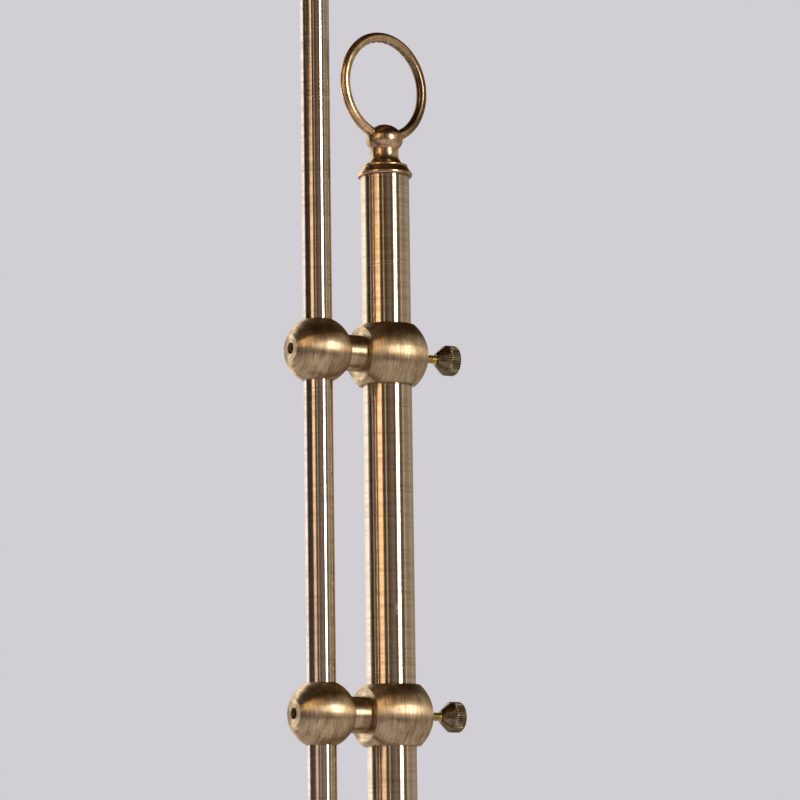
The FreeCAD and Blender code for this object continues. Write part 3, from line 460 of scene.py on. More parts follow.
def plain_stuff(name, first, second, rough, size, metallic=0.0, bump=0.00002, settings=None):
    """A matt or glazed material with a fine grain and soft changes of colour."""
    nodes = Nodes(name)
    nodes.fixed("Metallic", metallic)
    for key, value in (settings or {}).items():
        nodes.fixed(key, value)
    where = nodes.place("Object", (1.0, 1.0, 1.0))
    grain = nodes.noise(where, 1 / size, detail=4.0, roughness=0.6)
    clouds = nodes.noise(where, CLOUDS_TO_GRAIN / size, detail=3.0)
    share = nodes.maths("MULTIPLY", nodes.span(grain, *GRAIN_TONE), nodes.span(clouds, *SOFT_CLOUDS))
    roughness = nodes.span(grain, *GRAIN_ROUGH, rough - GRAIN_SMOOTHER, rough + GRAIN_ROUGHER)
    nodes.join(nodes.blend(share, first, second), nodes.shader.inputs["Base Color"])
    nodes.join(roughness, nodes.shader.inputs["Roughness"])
    nodes.join(nodes.bump(grain, bump), nodes.shader.inputs["Normal"])
    return nodes.material


# name: clean tone, dark tone, rubbed tone, roughness, what else differs
BRASS = {
    "brushed_brass": (
        (0.49, 0.380, 0.255), (0.27, 0.190, 0.110), (0.58, 0.465, 0.330), 0.235,
        dict(along=1.0, patina=0.16, cloud_size=0.050, line_pitch=0.0010, line_length=0.030,
             line_depth=0.000001, scratches=POST_SCRATCHES)),
    "rod_brass": (
        (0.47, 0.370, 0.275), (0.25, 0.180, 0.120), (0.57, 0.465, 0.360), 0.235,
        dict(along=1.0, patina=0.18, cloud_size=0.050, line_pitch=0.0010, line_length=0.030,
             line_depth=0.000001)),
    "satin_brass": (
        (0.44, 0.305, 0.160), (0.13, 0.070, 0.028), (0.64, 0.49, 0.30), 0.36,
        dict(along=0.92, patina=0.60, cloud_size=0.008, line_pitch=0.0007, line_length=0.011,
             line_depth=0.000010, lines=0.42)),
    "polished_brass": (
        (0.52, 0.325, 0.165), (0.09, 0.050, 0.024), (0.66, 0.45, 0.26), 0.26,
        dict(patina=0.85, cloud_size=0.007, line_pitch=0.0020, line_length=0.008,
             line_depth=0.000003, lines=0.2)),
    # The ring is painted darker towards +x: painted shade on that side.
    "ring_brass": (
        (0.58, 0.365, 0.180), (0.08, 0.050, 0.028), (0.72, 0.50, 0.28), 0.25,
        dict(patina=0.80, cloud_size=0.009, line_pitch=0.0030, line_length=0.012,
             line_depth=0.000002, lines=0.15, worn_from=(0.002, 0.020))),
    "dark_brass": (
        (0.16, 0.115, 0.065), (0.040, 0.028, 0.014), (0.30, 0.23, 0.14), 0.25,
        dict(along=0.45, patina=0.55, cloud_size=0.004, line_pitch=0.0012, line_length=0.004)),
    "thread_brass": (
        (0.62, 0.50, 0.20), (0.30, 0.21, 0.07), (0.78, 0.66, 0.34), 0.26,
        dict(patina=0.35, cloud_size=0.004)),
    "spun_brass": (
        (0.49, 0.380, 0.255), (0.24, 0.165, 0.095), (0.58, 0.465, 0.330), 0.30,
        dict(along=0.9, patina=0.30, cloud_size=0.070, line_pitch=0.0011, line_length=0.05)),
    "shade_brass": (
        (0.49, 0.380, 0.255), (0.24, 0.165, 0.095), (0.58, 0.465, 0.330), 0.30,
        dict(along=0.9, patina=0.30, cloud_size=0.050, line_pitch=0.0011, line_length=0.05)),
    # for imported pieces, whose meshes have no UV map
    "packed_polished_brass": (
        (0.52, 0.345, 0.185), (0.09, 0.052, 0.026), (0.66, 0.47, 0.28), 0.27,
        dict(patina=0.60, cloud_size=0.008, line_pitch=0.0012, line_length=0.03,
             line_depth=0.000003, lines=0.3, turned=False)),
}
OPAL_SETTINGS = {"Subsurface Weight": 0.25, "Subsurface Scale": 0.004}
# name: one tone, the other, roughness, grain size, what else differs
PLAIN = {
    "zinc_steel": ((0.50, 0.51, 0.50), (0.66, 0.67, 0.66), 0.36, 0.0012, dict(metallic=1.0)),
    "black_steel": ((0.018, 0.018, 0.020), (0.045, 0.043, 0.042), 0.38, 0.0008, dict(metallic=1.0)),
    "raw_iron": ((0.045, 0.042, 0.040), (0.12, 0.105, 0.095), 0.72, 0.0016, dict(bump=0.00015)),
    "pad_rubber": ((0.012, 0.012, 0.013), (0.030, 0.029, 0.028), 0.86, 0.0009, dict(bump=0.00012)),
    "liner_nylon": ((0.62, 0.60, 0.54), (0.72, 0.70, 0.65), 0.48, 0.002, {}),
    "holder_ceramic": ((0.70, 0.69, 0.65), (0.80, 0.79, 0.76), 0.22, 0.003, {}),
    "contact_brass": ((0.58, 0.44, 0.20), (0.74, 0.60, 0.32), 0.28, 0.001, dict(metallic=1.0)),
    "bulb_opal": ((0.78, 0.78, 0.76), (0.84, 0.84, 0.82), 0.16, 0.02,
                  dict(bump=0.000004, settings=OPAL_SETTINGS)),
    "bulb_nickel": ((0.60, 0.60, 0.58), (0.74, 0.74, 0.73), 0.24, 0.001, dict(metallic=1.0)),
    "bulb_insulator": ((0.030, 0.024, 0.026), (0.06, 0.05, 0.05), 0.20, 0.002, {}),
}


def make_materials():
    finishes = {}
    for maker, table in ((brushed_metal, BRASS), (plain_stuff, PLAIN)):
        for name, (*values, settings) in table.items():
            finishes[name] = maker(name, *values, **settings)
    return finishes


# ---------------------------------------------------------------- meshes

ARC_STEP = 4.0                  # degrees between an arc's points, at most
SHARP_BEND = 20.0               # degrees from which a corner is eased
EDGE_SHARE = 0.35               # how much of a side an eased corner may take
EASE_STEPS = (0.0, 0.25, 0.5, 0.75, 1.0)
NO_LENGTH = 1e-6
TINY = 1e-9


def arc_points(start, end, radius, turn):
    """Points on the shorter arc from start to end that turns left or right, without its first point."""
    chord = end - start
    side = np.array((-chord[1], chord[0])) / np.linalg.norm(chord)
    half = np.linalg.norm(chord) / 2
    height = math.sqrt(max(radius ** 2 - half ** 2, 0.0))
    centre = (start + end) / 2 + side * height * turn
    begin = math.atan2(*(start - centre)[::-1])
    sweep = 2 * math.asin(min(half / radius, 1.0)) * turn
    count = max(2, math.ceil(abs(math.degrees(sweep)) / ARC_STEP))
    angles = begin + sweep * np.arange(1, count + 1) / count
    return centre + radius * np.stack((np.cos(angles), np.sin(angles)), axis=1)


def eased_corner(point, before, after, edge):
    """A corner's points: itself, or a small curve where it bends sharply. before and after are its sides."""
    lengths = np.linalg.norm(before), np.linalg.norm(after)
    if min(lengths) < NO_LENGTH:
        return [point]
    bend = math.degrees(math.acos(np.clip(-(before @ after) / lengths[0] / lengths[1], -1, 1)))
    if bend < SHARP_BEND:
        return [point]
    cut = min(edge, EDGE_SHARE * lengths[0], EDGE_SHARE * lengths[1])
    first = point + before / lengths[0] * cut
    last = point + after / lengths[1] * cut
    return [(1 - share) ** 2 * first + 2 * share * (1 - share) * point + share ** 2 * last
            for share in EASE_STEPS]


def profile_points(corners, edge):
    """A turned outline's points, in millimetres, with each sharp corner eased by a small edge.

    A corner is (across, along), or (across, along, radius, side) at the end of an arc. The outline is
    closed where it keeps clear of the axis.
    """
    raw = []
    for index, corner in enumerate(corners):
        point = np.array(corner[:2], float)
        if len(corner) > 2 and index:
            raw += list(arc_points(raw[-1], point, corner[2], corner[3]))
        else:
            raw.append(point)
    closed = min(corners[0][0], corners[-1][0]) > 0
    if not edge:
        return np.array(raw), closed
    points = []
    count = len(raw)
    for index, point in enumerate(raw):
        if closed or 0 < index < count - 1:
            points += eased_corner(point, raw[index - 1] - point, raw[(index + 1) % count] - point, edge)
        else:
            points.append(point)
    return np.array(points), closed


def grid_piece(name, points, closed, around_length, material):
    """A surface through rows of points, each row closed on itself. points is rows x columns x 3, metres."""
    rows, columns = points.shape[:2]
    steps = np.linalg.norm(np.diff(points, axis=0), axis=2).mean(axis=1)
    run = np.concatenate(((0.0,), np.cumsum(steps)))
    closing = np.linalg.norm(points[0] - points[-1], axis=1).mean()
    last = rows if closed else rows - 1
    faces = []
    coords = []
    for i in range(last):
        below = (i + 1) % rows
        u = (run[i], run[i] + closing if below == 0 else run[below])
        for j in range(columns):
            right = (j + 1) % columns
            v = (around_length * j / columns, around_length * (j + 1) / columns)
            faces.append((i * columns + j, i * columns + right,
                          below * columns + right, below * columns + j))
            coords += [u[0], v[0], u[0], v[1], u[1], v[1], u[1], v[0]]
    mesh = bpy.data.meshes.new(name)
    mesh.from_pydata(points.reshape(-1, 3).tolist(), [], faces)
    layer = mesh.uv_layers.new(name="turning")
    layer.data.foreach_set("uv", np.array(coords, np.float32))
    return finish_mesh(name, mesh, material)


MERGE_WITHIN = 1e-7
COLLAPSE_WITHIN = 1e-8
SMOOTH_BEND = math.radians(38)
SOCKET_BEND = math.radians(30)


def finish_mesh(name, mesh, material):
    """Closes seams, turns faces outward and shades the mesh smooth apart from its edges."""
    work = bmesh.new()
    work.from_mesh(mesh)
    bmesh.ops.remove_doubles(work, verts=work.verts, dist=MERGE_WITHIN)
    bmesh.ops.dissolve_degenerate(work, dist=COLLAPSE_WITHIN, edges=work.edges)
    bmesh.ops.recalc_face_normals(work, faces=work.faces)
    if work.calc_volume(signed=True) < 0:
        bmesh.ops.reverse_faces(work, faces=work.faces)
    work.to_mesh(mesh)
    work.free()
    mesh.shade_smooth()
    mesh.set_sharp_from_angle(angle=SMOOTH_BEND)
    mesh.materials.append(material)
    return link(bpy.data.objects.new(name, mesh))


def full_turn(columns):
    return np.arange(columns) * TAU / columns


def spin(points, angles, axis, centre):
    """Turns outline points (across, along), in millimetres, about an axis through centre, in metres."""
    across = points[:, 0][:, None] * MM
    along = np.repeat(points[:, 1][:, None], len(angles), axis=1) * MM
    first = across * np.cos(angles)
    second = across * np.sin(angles)
    order = {"Z": (first, second, along), "X": (along, first, second)}[axis]
    return np.stack(order, axis=2) + np.array(centre)


def lathe(name, corners, material, centre=(0.0, 0.0, 0.0), axis="Z", columns=192, edge=0.25):
    """A piece turned from a half outline of (across, along) corners in millimetres."""
    points, closed = profile_points(corners, edge)
    widest = points[:, 0].max() * MM
    return grid_piece(name, spin(points, full_turn(columns), axis, centre), closed, TAU * widest, material)


def carve(piece, tool, operation="DIFFERENCE"):
    """Cuts the piece with another solid, which is then deleted."""
    change = piece.modifiers.new("carve", "BOOLEAN")
    change.operation = operation
    change.solver = "EXACT"
    change.object = tool
    bpy.context.view_layer.update()
    carved = bpy.data.meshes.new_from_object(piece.evaluated_get(bpy.context.evaluated_depsgraph_get()))
    piece.modifiers.clear()
    old = piece.data
    piece.data = carved
    bpy.data.meshes.remove(old)
    bpy.data.objects.remove(tool)


def set_true_normals(piece, surfaces):
    """Gives curved faces their true normals, so that cuts leave no shading marks.

    surfaces holds functions that take points and face normals and return true normals and where
    they hold.
    """
    mesh = piece.data
    mesh.shade_smooth()
    corners = np.zeros(len(mesh.loops), int)
    mesh.loops.foreach_get("vertex_index", corners)
    places = np.zeros(len(mesh.vertices) * 3)
    mesh.vertices.foreach_get("co", places)
    places = places.reshape(-1, 3)[corners]
    normals = np.zeros((len(mesh.loops), 3))
    for polygon in mesh.polygons:
        normals[polygon.loop_start:polygon.loop_start + polygon.loop_total] = polygon.normal
    chosen = normals.copy()
    for surface in surfaces:
        true, holds = surface(places, normals)
        chosen[holds] = true[holds]
    mesh.normals_split_custom_set(chosen.tolist())


ON_SURFACE = 0.00004            # metres
BALL_AXES = (1.0, 1.0, 1.0)
BORE_AXES = (1.0, 1.0, 0.0)
OUTWARD = 1.0
INWARD = -1.0


def round_surface(centre, radius, axes, way, alignment):
    """The true normals of a ball or an upright bore, for set_true_normals.

    They hold near the surface, on faces that point their way by at least the alignment.
    """
    def true_normals(places, normals):
        away = (places - np.array(centre)) * np.array(axes)
        distance = np.linalg.norm(away, axis=1)
        unit = way * away / np.maximum(distance, TINY)[:, None]
        return unit, (np.abs(distance - radius) < ON_SURFACE) & ((unit * normals).sum(axis=1) > alignment)
    return true_normals


def stand_for(piece, node):
    """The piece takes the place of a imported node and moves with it."""
    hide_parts(node)
    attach(piece, frame["nodes"][node]["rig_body"])


def size_of(node):
    """A node's middle, in metres, and its radius, lowest and highest point, in millimetres."""
    low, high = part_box(node)
    middle = ((low.x + high.x) / 2, (low.y + high.y) / 2, 0.0)
    return middle, (high.y - low.y) / 2 / MM, low.z / MM, high.z / MM


# ---------------------------------------------------------------- upright, finial, ring

POST_WALL = 1.2
ROD_WALL = 1.0
FIT = 0.05


def make_tube(name, node, wall, material):
    """A drawn tube with the outer size of its node."""
    middle, radius, low, high = size_of(node)
    corners = [(radius - wall, low), (radius, low), (radius, high), (radius - wall, high)]
    piece = lathe(name, corners, material, middle, columns=256, edge=0.2)
    stand_for(piece, node)


RING_WIRE = 2.3
RING_TURN = 9.7
BUN_HEIGHT = 17.4
BUN_RADIUS = 8.4
BUN_SIDE = 5.4
BUN_BLEND = 41.0
BUN_TOP = 24.2
SPIGOT = 12.0
RING_ROWS = 360
WIRE_COLUMNS = 56
RING_WAY_ROOM = 0.25


def ring_measures():
    """The radius of the ring's middle line and the height of its centre, in millimetres."""
    low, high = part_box("carry_ring")
    radius = (high.z - low.z) / 2 / MM - RING_WIRE
    return radius, high.z / MM - radius - RING_WIRE


def ring_torus(name, wire, material, scallops):
    """The ring's torus, in its turned plane; scallops is a function that eases its inner side."""
    radius, height = ring_measures()
    along = full_turn(RING_ROWS)[:, None]
    round_wire = full_turn(WIRE_COLUMNS)
    reach = np.tile(radius + wire * np.cos(round_wire), (RING_ROWS, 1))
    reach = scallops(reach, along)
    side = np.tile(wire * np.sin(round_wire), (RING_ROWS, 1))
    across = reach * np.sin(along)
    turn = math.radians(RING_TURN)
    x = across * math.cos(turn) - side * math.sin(turn)
    y = across * math.sin(turn) + side * math.cos(turn)
    points = np.stack((x, y, reach * np.cos(along) + height), axis=2) * MM
    return grid_piece(name, points, True, TAU * wire * MM, material)


SCALLOP_RADIUS = 1.9
SCALLOP_DEPTH = 0.55
SCALLOP_START = -31.0
SCALLOP_SPAN = 76.0
SCALLOP_COUNT = 8
DARK_FROM = 0.03                # millimetres into the wire from which a bite is dark


def darken_scallops(ring, material):
    """The bites hold dark patina."""
    radius, height = ring_measures()
    ring.data.materials.append(material)
    turn = math.radians(RING_TURN)
    for polygon in ring.data.polygons:
        x, y, z = polygon.center / MM
        across = x * math.cos(turn) + y * math.sin(turn)
        aside = y * math.cos(turn) - x * math.sin(turn)
        from_wire = math.hypot(math.hypot(across, z - height) - radius, aside)
        if from_wire < RING_WIRE - DARK_FROM and z > height:
            polygon.material_index = 1


def ease_scallops(reach, along):
    """Worn bites on the ring's inner side, near its top."""
    radius, _ = ring_measures()
    bite = radius - RING_WIRE - SCALLOP_RADIUS + SCALLOP_DEPTH
    for index in range(SCALLOP_COUNT):
        angle = SCALLOP_START + SCALLOP_SPAN * index / (SCALLOP_COUNT - 1)
        off = along - math.radians(angle)
        aside = bite * np.sin(off)
        room = np.sqrt(np.maximum(SCALLOP_RADIUS ** 2 - aside ** 2, 0.0))
        edge = bite * np.cos(off) + room
        inside = (np.abs(aside) < SCALLOP_RADIUS) & (np.cos(off) > 0) & (reach < edge)
        reach = np.where(inside, edge, reach)
    return reach


def make_ring(materials):
    """The round wire ring through the finial's bun."""
    ring = ring_torus("carry_ring_turned", RING_WIRE, materials["ring_brass"], ease_scallops)
    darken_scallops(ring, materials["dark_brass"])
    stand_for(ring, "carry_ring")


# The finial's outline: radii, and heights above the upright's top.
FLANGE = 12.1
FLANGE_EDGE = 1.9
FLANGE_ROUND = 1.5
STEP = 10.4
STEP_FOOT = 4.3
STEP_TOP = 5.2
COVE = 8.6
COVE_FOOT = 5.7
COVE_TOP = 11.0
COVE_ROUND = 6.0
NECK = 6.35
NECK_EASE_FOOT = 1.3            # the curve from neck to bun: its foot, rise, run and radius
NECK_EASE_TOP = 0.45
NECK_EASE_RUN = 0.55
NECK_EASE_ROUND = 2.2


def make_finial(materials):
    """Flange, neck and bun, with the ring's way through the bun."""
    _, post, _, top = size_of("post_tube")
    in_post = post - POST_WALL - FIT
    side = BUN_RADIUS - BUN_SIDE
    blend_across = side + BUN_SIDE * math.cos(math.radians(BUN_BLEND))
    blend_up = BUN_HEIGHT + BUN_SIDE * math.sin(math.radians(BUN_BLEND))
    crown = BUN_TOP - blend_up
    crown_radius = (blend_across ** 2 + crown ** 2) / (2 * crown)
    neck_end = BUN_HEIGHT - math.sqrt(BUN_SIDE ** 2 - (NECK - side) ** 2)
    corners = [
        (0, -SPIGOT), (in_post, -SPIGOT), (in_post, 0), (FLANGE, 0),
        (FLANGE, FLANGE_EDGE, FLANGE_ROUND, LEFT), (STEP, STEP_FOOT), (STEP, STEP_TOP),
        (COVE, COVE_FOOT), (NECK, COVE_TOP, COVE_ROUND, RIGHT), (NECK, neck_end - NECK_EASE_FOOT),
        (NECK + NECK_EASE_RUN, neck_end + NECK_EASE_TOP, NECK_EASE_ROUND, RIGHT),
        (blend_across, blend_up, BUN_SIDE, LEFT), (0, BUN_TOP, crown_radius, LEFT),
    ]
    brass = materials["polished_brass"]
    finial = lathe("finial_turned", corners, brass, (0, 0, top * MM), columns=160, edge=0.3)
    tool = ring_torus("ring_way", RING_WIRE + RING_WAY_ROOM, brass, lambda reach, along: reach)
    carve(finial, tool)
    finial.data.set_sharp_from_angle(angle=SMOOTH_BEND)
    stand_for(finial, "finial")


# ---------------------------------------------------------------- clamps

ROD_BALL = 15.2
ROD_FACET = 12.8
GRUB_FACE = 5.75
GRUB = 2.5
POST_BALL = 18.6
POST_FLAT = 13.5
POST_FACET = 14.2
SPACER = 8.1
STUD_BORE = 4.05
SCREW_FACE = 4.7
SCREW = 2.0
ROD_BORE = 6.5 + FIT
POST_BORE = 11.1
LIP = 0.3                       # the eased edge of a ball's bore
TUNNEL = 6                      # how far in a ball's side holes go
SPARE = 8                       # how far a cutting tool reaches past the ball, across
SPARE_UP = 2
BALL_ALIGNMENT = 0.97
BORE_ALIGNMENT = 0.95


def bore_tool(name, centre, radius, bore, flat, material):
    """What a ball keeps: all outside its bore and, on some, between its flats."""
    reach = flat or radius + SPARE_UP
    wide = radius + SPARE
    if flat:
        outline = [(bore, -reach + LIP), (bore + LIP, -reach), (wide, -reach), (wide, reach),
                   (bore + LIP, reach), (bore, reach - LIP)]
    else:
        edge = math.sqrt(radius ** 2 - bore ** 2)
        lip = bore + 3 * LIP
        outline = [(bore, -edge + LIP), (lip, -edge - 2 * LIP), (lip, -reach), (wide, -reach),
                   (wide, reach), (lip, reach), (lip, edge + 2 * LIP), (bore, edge - LIP)]
    return lathe(name + "_tool", outline, material, centre, edge=0.0)


def make_ball(name, node, centre, radius, left, right, bore, flat, material):
    """A ball brushed round its sideways axis, cut by the upright bore and, on some, by flats.

    left and right are its ends on that axis: how far out each is cut, and its hole's radius.
    """
    left_edge = math.sqrt(radius ** 2 - left[0] ** 2)
    right_edge = math.sqrt(radius ** 2 - right[0] ** 2)
    corners = [(left[1], -left[0] + TUNNEL), (left[1], -left[0]), (left_edge, -left[0]),
               (radius, 0.0, radius, LEFT), (right_edge, right[0], radius, LEFT), (right[1], right[0]),
               (right[1], right[0] - TUNNEL)]
    ball = lathe(name, corners, material, centre, "X", edge=0.0)
    carve(ball, bore_tool(name, centre, radius, bore, flat, material), "INTERSECT")
    set_true_normals(ball, [round_surface(centre, radius * MM, BALL_AXES, OUTWARD, BALL_ALIGNMENT),
                            round_surface(centre, bore * MM, BORE_AXES, INWARD, BORE_ALIGNMENT)])
    stand_for(ball, node)


def make_clamp(level, materials):
    """One clamp's balls, spacer and screws."""
    low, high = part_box(level + "_post_ball")
    height = (low.z + high.z) / 2
    rod_across = size_of("rod_tube")[0][0]
    satin = materials["satin_brass"]
    rod = (rod_across, 0.0, height)
    post = (0.0, 0.0, height)
    grub_end = (math.sqrt(ROD_BALL ** 2 - GRUB_FACE ** 2), GRUB + FIT)
    screw_end = (math.sqrt(POST_BALL ** 2 - SCREW_FACE ** 2), SCREW + FIT)
    make_ball(level + "_rod_ball_turned", level + "_rod_ball", rod, ROD_BALL, grub_end,
              (ROD_FACET, STUD_BORE), ROD_BORE, None, satin)
    make_ball(level + "_post_ball_turned", level + "_post_ball", post, POST_BALL, (POST_FACET, STUD_BORE),
              screw_end, POST_BORE, POST_FLAT, satin)
    start = rod_across / MM + ROD_FACET
    corners = [(STUD_BORE, start), (STUD_BORE, -POST_FACET), (SPACER, -POST_FACET), (SPACER, start)]
    spacer = lathe(level + "_spacer_turned", corners, satin, post, "X", edge=0.45)
    stand_for(spacer, level + "_spacer")
    make_thumb_screw(level, height, materials)


THREAD_PITCH = 0.7
THREAD_DEPTH = 0.38
THREAD_FLAT = 0.03              # how far crests and roots are flattened
THREAD_ROWS = 10                # rows of points to each turn
THREAD_COLUMNS = 48
THREAD_TIP = 0.75


def threaded_stud(name, start, end, height, material):
    """A stud with a helical V thread, along X."""
    angles = full_turn(THREAD_COLUMNS)
    rows = round((end - start) / THREAD_PITCH * THREAD_ROWS)
    along = np.linspace(start, end, rows)
    phase = (along[:, None] / THREAD_PITCH - angles[None, :] / TAU) % 1.0
    depth = THREAD_DEPTH * np.abs(2 * phase - 1)
    radius = SCREW - np.clip(depth, THREAD_FLAT, THREAD_DEPTH - THREAD_FLAT)
    radius[0] = radius[0] * THREAD_TIP
    spread = np.repeat(along[:, None], THREAD_COLUMNS, axis=1)
    points = np.stack((spread, radius * np.cos(angles), radius * np.sin(angles)), axis=2)
    ends = [np.tile(np.array((place, 0.0, 0.0)), (1, THREAD_COLUMNS, 1)) for place in (start, end)]
    points = np.concatenate((ends[0], points, ends[1])) * MM + np.array((0, 0, height))
    return grid_piece(name, points, False, TAU * SCREW * MM, material)


def make_thumb_screw(level, height, materials):
    """The threaded stud and the knurled knob."""
    low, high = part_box(level + "_screw_stud")
    stud = threaded_stud(level + "_screw_thread", low.x / MM, high.x / MM, height, materials["thread_brass"])
    stand_for(stud, level + "_screw_stud")

    low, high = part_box(level + "_knob")
    knob = knurled_knob(level + "_knob_knurled", low.x / MM, high.x / MM, (high.z - low.z) / 2 / MM, height,
                        materials["dark_brass"])
    stand_for(knob, level + "_knob")


KNURLS = 40
KNURL_DEPTH = 0.42
KNURL_SLOPE = 1.5               # a notch's depth across a tooth, held between 0 and 1
KNURL_START = 0.55
KNURL_COLUMNS = 10              # columns of points to each tooth
KNURL_STEP = 0.5
KNURL_REACH = 2.4               # how far inward the teeth run out, and over what length
KNURL_FADE = 1.8
KNOB_NOSE = 2.6
KNOB_BAND = 4.9
KNOB_CHAMFER = 0.7
KNOB_BORE = 6.5                 # how deep the stud sits in the knob
KNOB_EASE = 0.15


def dense_points(points, step):
    """The same outline with points no farther apart than a step."""
    dense = [points[0]]
    for point in points[1:]:
        pieces = max(1, math.ceil(np.linalg.norm(point - dense[-1]) / step))
        start = dense[-1]
        dense += [start + (point - start) * piece / pieces for piece in range(1, pieces + 1)]
    return np.array(dense)


def knurled_knob(name, nose, back, radius, height, material):
    """A cone that opens to a band of fine straight teeth."""
    band = back - KNOB_BAND
    bore_end = nose + KNOB_BORE
    bore = SCREW + FIT
    corners = [(0, bore_end), (bore, bore_end), (bore, nose), (KNOB_NOSE, nose), (radius, band),
               (radius, back - KNOB_CHAMFER), (radius - KNOB_CHAMFER, back, KNOB_CHAMFER, LEFT), (0, back)]
    dense = dense_points(profile_points(corners, KNOB_EASE)[0], KNURL_STEP)
    across, along = dense[:, :1], dense[:, 1:]
    angles = full_turn(KNURLS * KNURL_COLUMNS)
    tooth = np.abs(((angles * KNURLS / TAU) % 1.0) * 2 - 1)
    notch = np.clip(KNURL_SLOPE * tooth - KNURL_START, 0.0, 1.0)
    shown = np.clip((along - band + KNOB_CHAMFER) / (2 * KNOB_CHAMFER), 0.0, 1.0)
    shown = shown * np.clip((across - radius + KNURL_REACH) / KNURL_FADE, 0.0, 1.0)
    cut = across - KNURL_DEPTH * notch * shown
    spread = np.repeat(along, len(angles), axis=1)
    points = np.stack((spread, cut * np.cos(angles), cut * np.sin(angles)), axis=2) * MM
    return grid_piece(name, points + np.array((0, 0, height)), False, TAU * radius * MM, material)


GRUB_LENGTH = 5.6
SOCKET_FLATS = 2.6              # across the hexagon's flats
SOCKET_DEPTH = 2.6
SOCKET_SPARE = 1                # how far its cutting tool stands out


def make_grub_screws(materials):
    """Two set screws with hexagon sockets, one in each rod ball."""
    steel = materials["black_steel"]
    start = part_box("grub_screws")[0].x / MM
    end = start + GRUB_LENGTH
    corner = SOCKET_FLATS / 2 / math.cos(math.pi / 6)
    socket_start = start - SOCKET_SPARE
    socket_end = start + SOCKET_DEPTH
    parts = []
    for level in ("upper", "lower"):
        low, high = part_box(level + "_rod_ball")
        middle = (0, 0, (low.z + high.z) / 2)
        screw = lathe("grub_" + level, [(0, start), (GRUB, start), (GRUB, end), (0, end)], steel,
                      middle, "X", columns=48, edge=0.35)
        hexagon = [(0, socket_start), (corner, socket_start), (corner, socket_end), (0, socket_end)]
        carve(screw, lathe("hexagon", hexagon, steel, middle, "X", columns=6, edge=0.0))
        parts.append(screw)
    with bpy.context.temp_override(active_object=parts[0], selected_editable_objects=parts):
        bpy.ops.object.join()
    parts[0].name = "grub_screws_socketed"
    parts[0].data.set_sharp_from_angle(angle=SOCKET_BEND)
    stand_for(parts[0], "grub_screws")


# ---------------------------------------------------------------- arm

RISE_ROWS = 8
ARCH_STEP = 1.5                 # degrees
ARM_COLUMNS = 128


def arm_path():
    """The arm's middle line: points in millimetres and directions, both (x, z), with its radius."""
    low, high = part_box("bridge_arm")
    rod_middle, radius, _, joint = size_of("rod_tube")
    start = rod_middle[0] / MM
    head = low.x / MM + radius
    arch = (start - head) / 2
    rise = high.z / MM - radius - arch
    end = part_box("knuckle_upper")[1].z / MM
    path = [((start, z), (0.0, 1.0)) for z in np.linspace(joint, rise, RISE_ROWS)]
    for angle in np.radians(np.arange(1, round(180 / ARCH_STEP) + 1) * ARCH_STEP):
        path.append(((head + arch + arch * math.cos(angle), rise + arch * math.sin(angle)),
                     (-math.sin(angle), math.cos(angle))))
    path.append(((head, end), (0.0, -1.0)))
    return path, radius


def make_arm(material):
    """The arched tube: a straight rise, a half circle and a short drop."""
    path, radius = arm_path()
    stations = [(*step, radius) for step in path] + [(*step, radius - ROD_WALL) for step in reversed(path)]
    angles = full_turn(ARM_COLUMNS)[:, None]
    aside = np.array((0.0, 1.0, 0.0))
    rows = []
    for (x, z), (dx, dz), size in stations:
        out = np.array((dz, 0.0, -dx))
        ring = np.cos(angles) * out + np.sin(angles) * aside
        rows.append((np.array((x, 0.0, z)) + size * ring) * MM)
    arm = grid_piece("bridge_arm_bent", np.array(rows), True, TAU * radius * MM, material)
    stand_for(arm, "bridge_arm")


# ---------------------------------------------------------------- foot and shade

COVER_WALL = 1.2
COVER_SIDE = 18.0
COVER_SHOULDER = 8.0
COVER_LEDGE = 15.0
COVER_LEDGE_RISE = 1.2
COVER_STEP = 3.0
COVER_STEP_RUN = 1.5
DOME_RADIUS = 300.0
DOME_FOOT = 36.0
COVE_RADIUS = 12.0
COVE_RISE = 4.7
COVER_NECK = 22.8
STUD_HOLE = 5.4
COLLAR_NECK = 14.0
COLLAR_LIP = 3.0
COLLAR_COVE = 7.0


def make_cover(material):
    """The spun cover over the weight."""
    middle, side, low, top = size_of("base_cover")
    shoulder = side - COVER_SHOULDER
    shoulder_top = COVER_SIDE + COVER_SHOULDER
    ledge = shoulder - COVER_LEDGE
    ledge_top = shoulder_top + COVER_LEDGE_RISE
    step = ledge - COVER_STEP_RUN
    step_top = ledge_top + COVER_STEP
    cove_foot = top - COVE_RISE
    wall = COVER_WALL
    corners = [
        (side - wall, low), (side, low), (side, COVER_SIDE), (shoulder, shoulder_top, COVER_SHOULDER, LEFT),
        (ledge, ledge_top), (step, step_top), (DOME_FOOT, cove_foot, DOME_RADIUS, LEFT),
        (COVER_NECK, top, COVE_RADIUS, RIGHT), (STUD_HOLE, top), (STUD_HOLE, top - wall),
        (COVER_NECK - wall, top - wall), (DOME_FOOT, cove_foot - wall, COVE_RADIUS + wall, LEFT),
        (step - wall, step_top - wall, DOME_RADIUS - wall, RIGHT), (ledge - wall, ledge_top - wall),
        (shoulder, shoulder_top - wall), (side - wall, COVER_SIDE, COVER_SHOULDER - wall, RIGHT),
    ]
    cover = lathe("base_cover_spun", corners, material, middle, columns=288, edge=0.4)
    stand_for(cover, "base_cover")


def make_collar(material):
    """The turned collar at the upright's foot."""
    middle, lip, low, high = size_of("post_collar")
    bore = size_of("post_tube")[1] + FIT
    cove_top = low + COLLAR_LIP + COLLAR_COVE
    corners = [(bore, low), (lip, low), (lip, low + COLLAR_LIP), (COLLAR_NECK, cove_top, COLLAR_COVE, RIGHT),
               (COLLAR_NECK, high), (bore, high)]
    collar = lathe("post_collar_turned", corners, material, middle, edge=0.4)
    stand_for(collar, "post_collar")


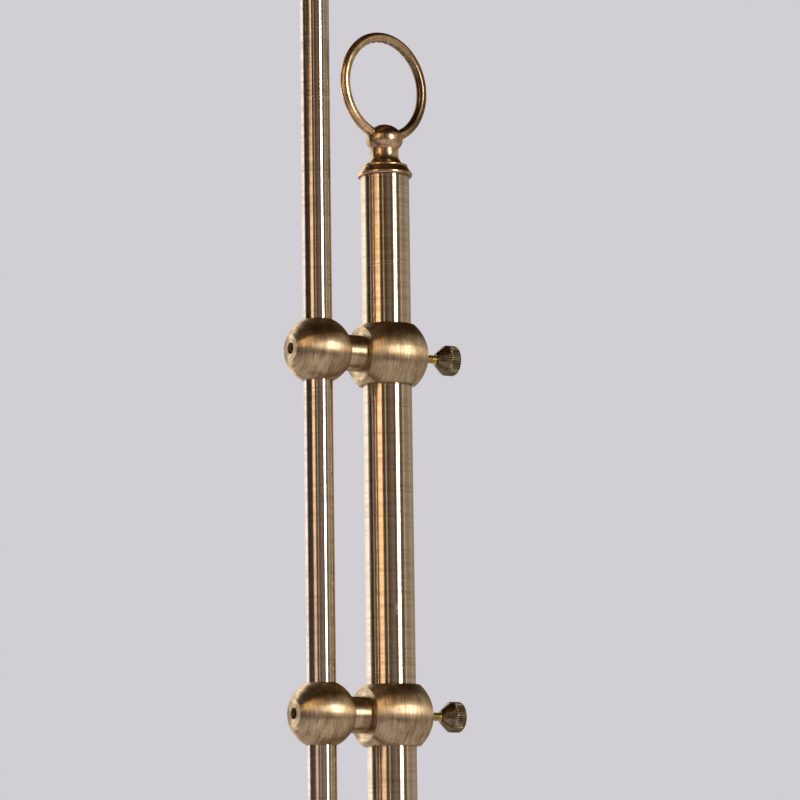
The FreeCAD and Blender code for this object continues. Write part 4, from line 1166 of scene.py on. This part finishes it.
SHADE_WALL = 0.8
SHADE_HOLE = 20.0
SHADE_TOP = 33.0
SHADE_SHOULDER = 13.0
SHADE_SKIRT_RADIUS = 96.0
SHADE_SKIRT = 106.0
SHADE_FLARE = 6.0
SHADE_FLARE_RUN = 4.0
SHADE_FLARE_ARC = 10.0
SHADE_BEAD = 1.5


def make_shade(material):
    """A flat top on the holder's flange, a round shoulder, a straight skirt and a beaded rim."""
    middle, _, low, top = size_of("shade")
    wall = SHADE_WALL
    shoulder = SHADE_TOP + SHADE_SHOULDER
    shoulder_foot = top - SHADE_SHOULDER
    skirt_foot = shoulder_foot - SHADE_SKIRT
    mouth = SHADE_SKIRT_RADIUS + SHADE_FLARE_RUN
    flare_foot = skirt_foot - SHADE_FLARE
    corners = [
        (SHADE_HOLE, top - wall), (SHADE_TOP, top - wall),
        (shoulder - wall, shoulder_foot - wall / 2, SHADE_SHOULDER - wall, RIGHT),
        (SHADE_SKIRT_RADIUS - wall, skirt_foot - wall / 2),
        (mouth - wall, flare_foot, SHADE_FLARE_ARC + wall, LEFT), (mouth - wall, low), (mouth, low),
        (mouth, flare_foot, SHADE_BEAD, LEFT), (SHADE_SKIRT_RADIUS, skirt_foot, SHADE_FLARE_ARC, RIGHT),
        (shoulder, shoulder_foot), (SHADE_TOP, top, SHADE_SHOULDER, LEFT), (SHADE_HOLE, top),
    ]
    shade = lathe("shade_spun", corners, material, middle, columns=256, edge=0.15)
    stand_for(shade, "shade")


# ---------------------------------------------------------------- the whole lamp

def dress_nodes(materials):
    """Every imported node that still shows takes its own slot's material."""
    slots = {row["node"]: row["material_slot"] for row in frame["record"]["subparts"]}
    for node, item in frame["nodes"].items():
        finish = materials.get("packed_" + slots[node], materials[slots[node]])
        for holder in item.material_slots:
            holder.material = finish


make_camera()
make_stage()
finishes = make_materials()
dress_nodes(finishes)
make_tube("post_tube_drawn", "post_tube", POST_WALL, finishes["brushed_brass"])
make_tube("rod_tube_drawn", "rod_tube", ROD_WALL, finishes["rod_brass"])
make_arm(finishes["rod_brass"])
make_ring(finishes)
make_finial(finishes)
for level in ("upper", "lower"):
    make_clamp(level, finishes)
make_grub_screws(finishes)
make_cover(finishes["spun_brass"])
make_collar(finishes["polished_brass"])
make_shade(finishes["shade_brass"])
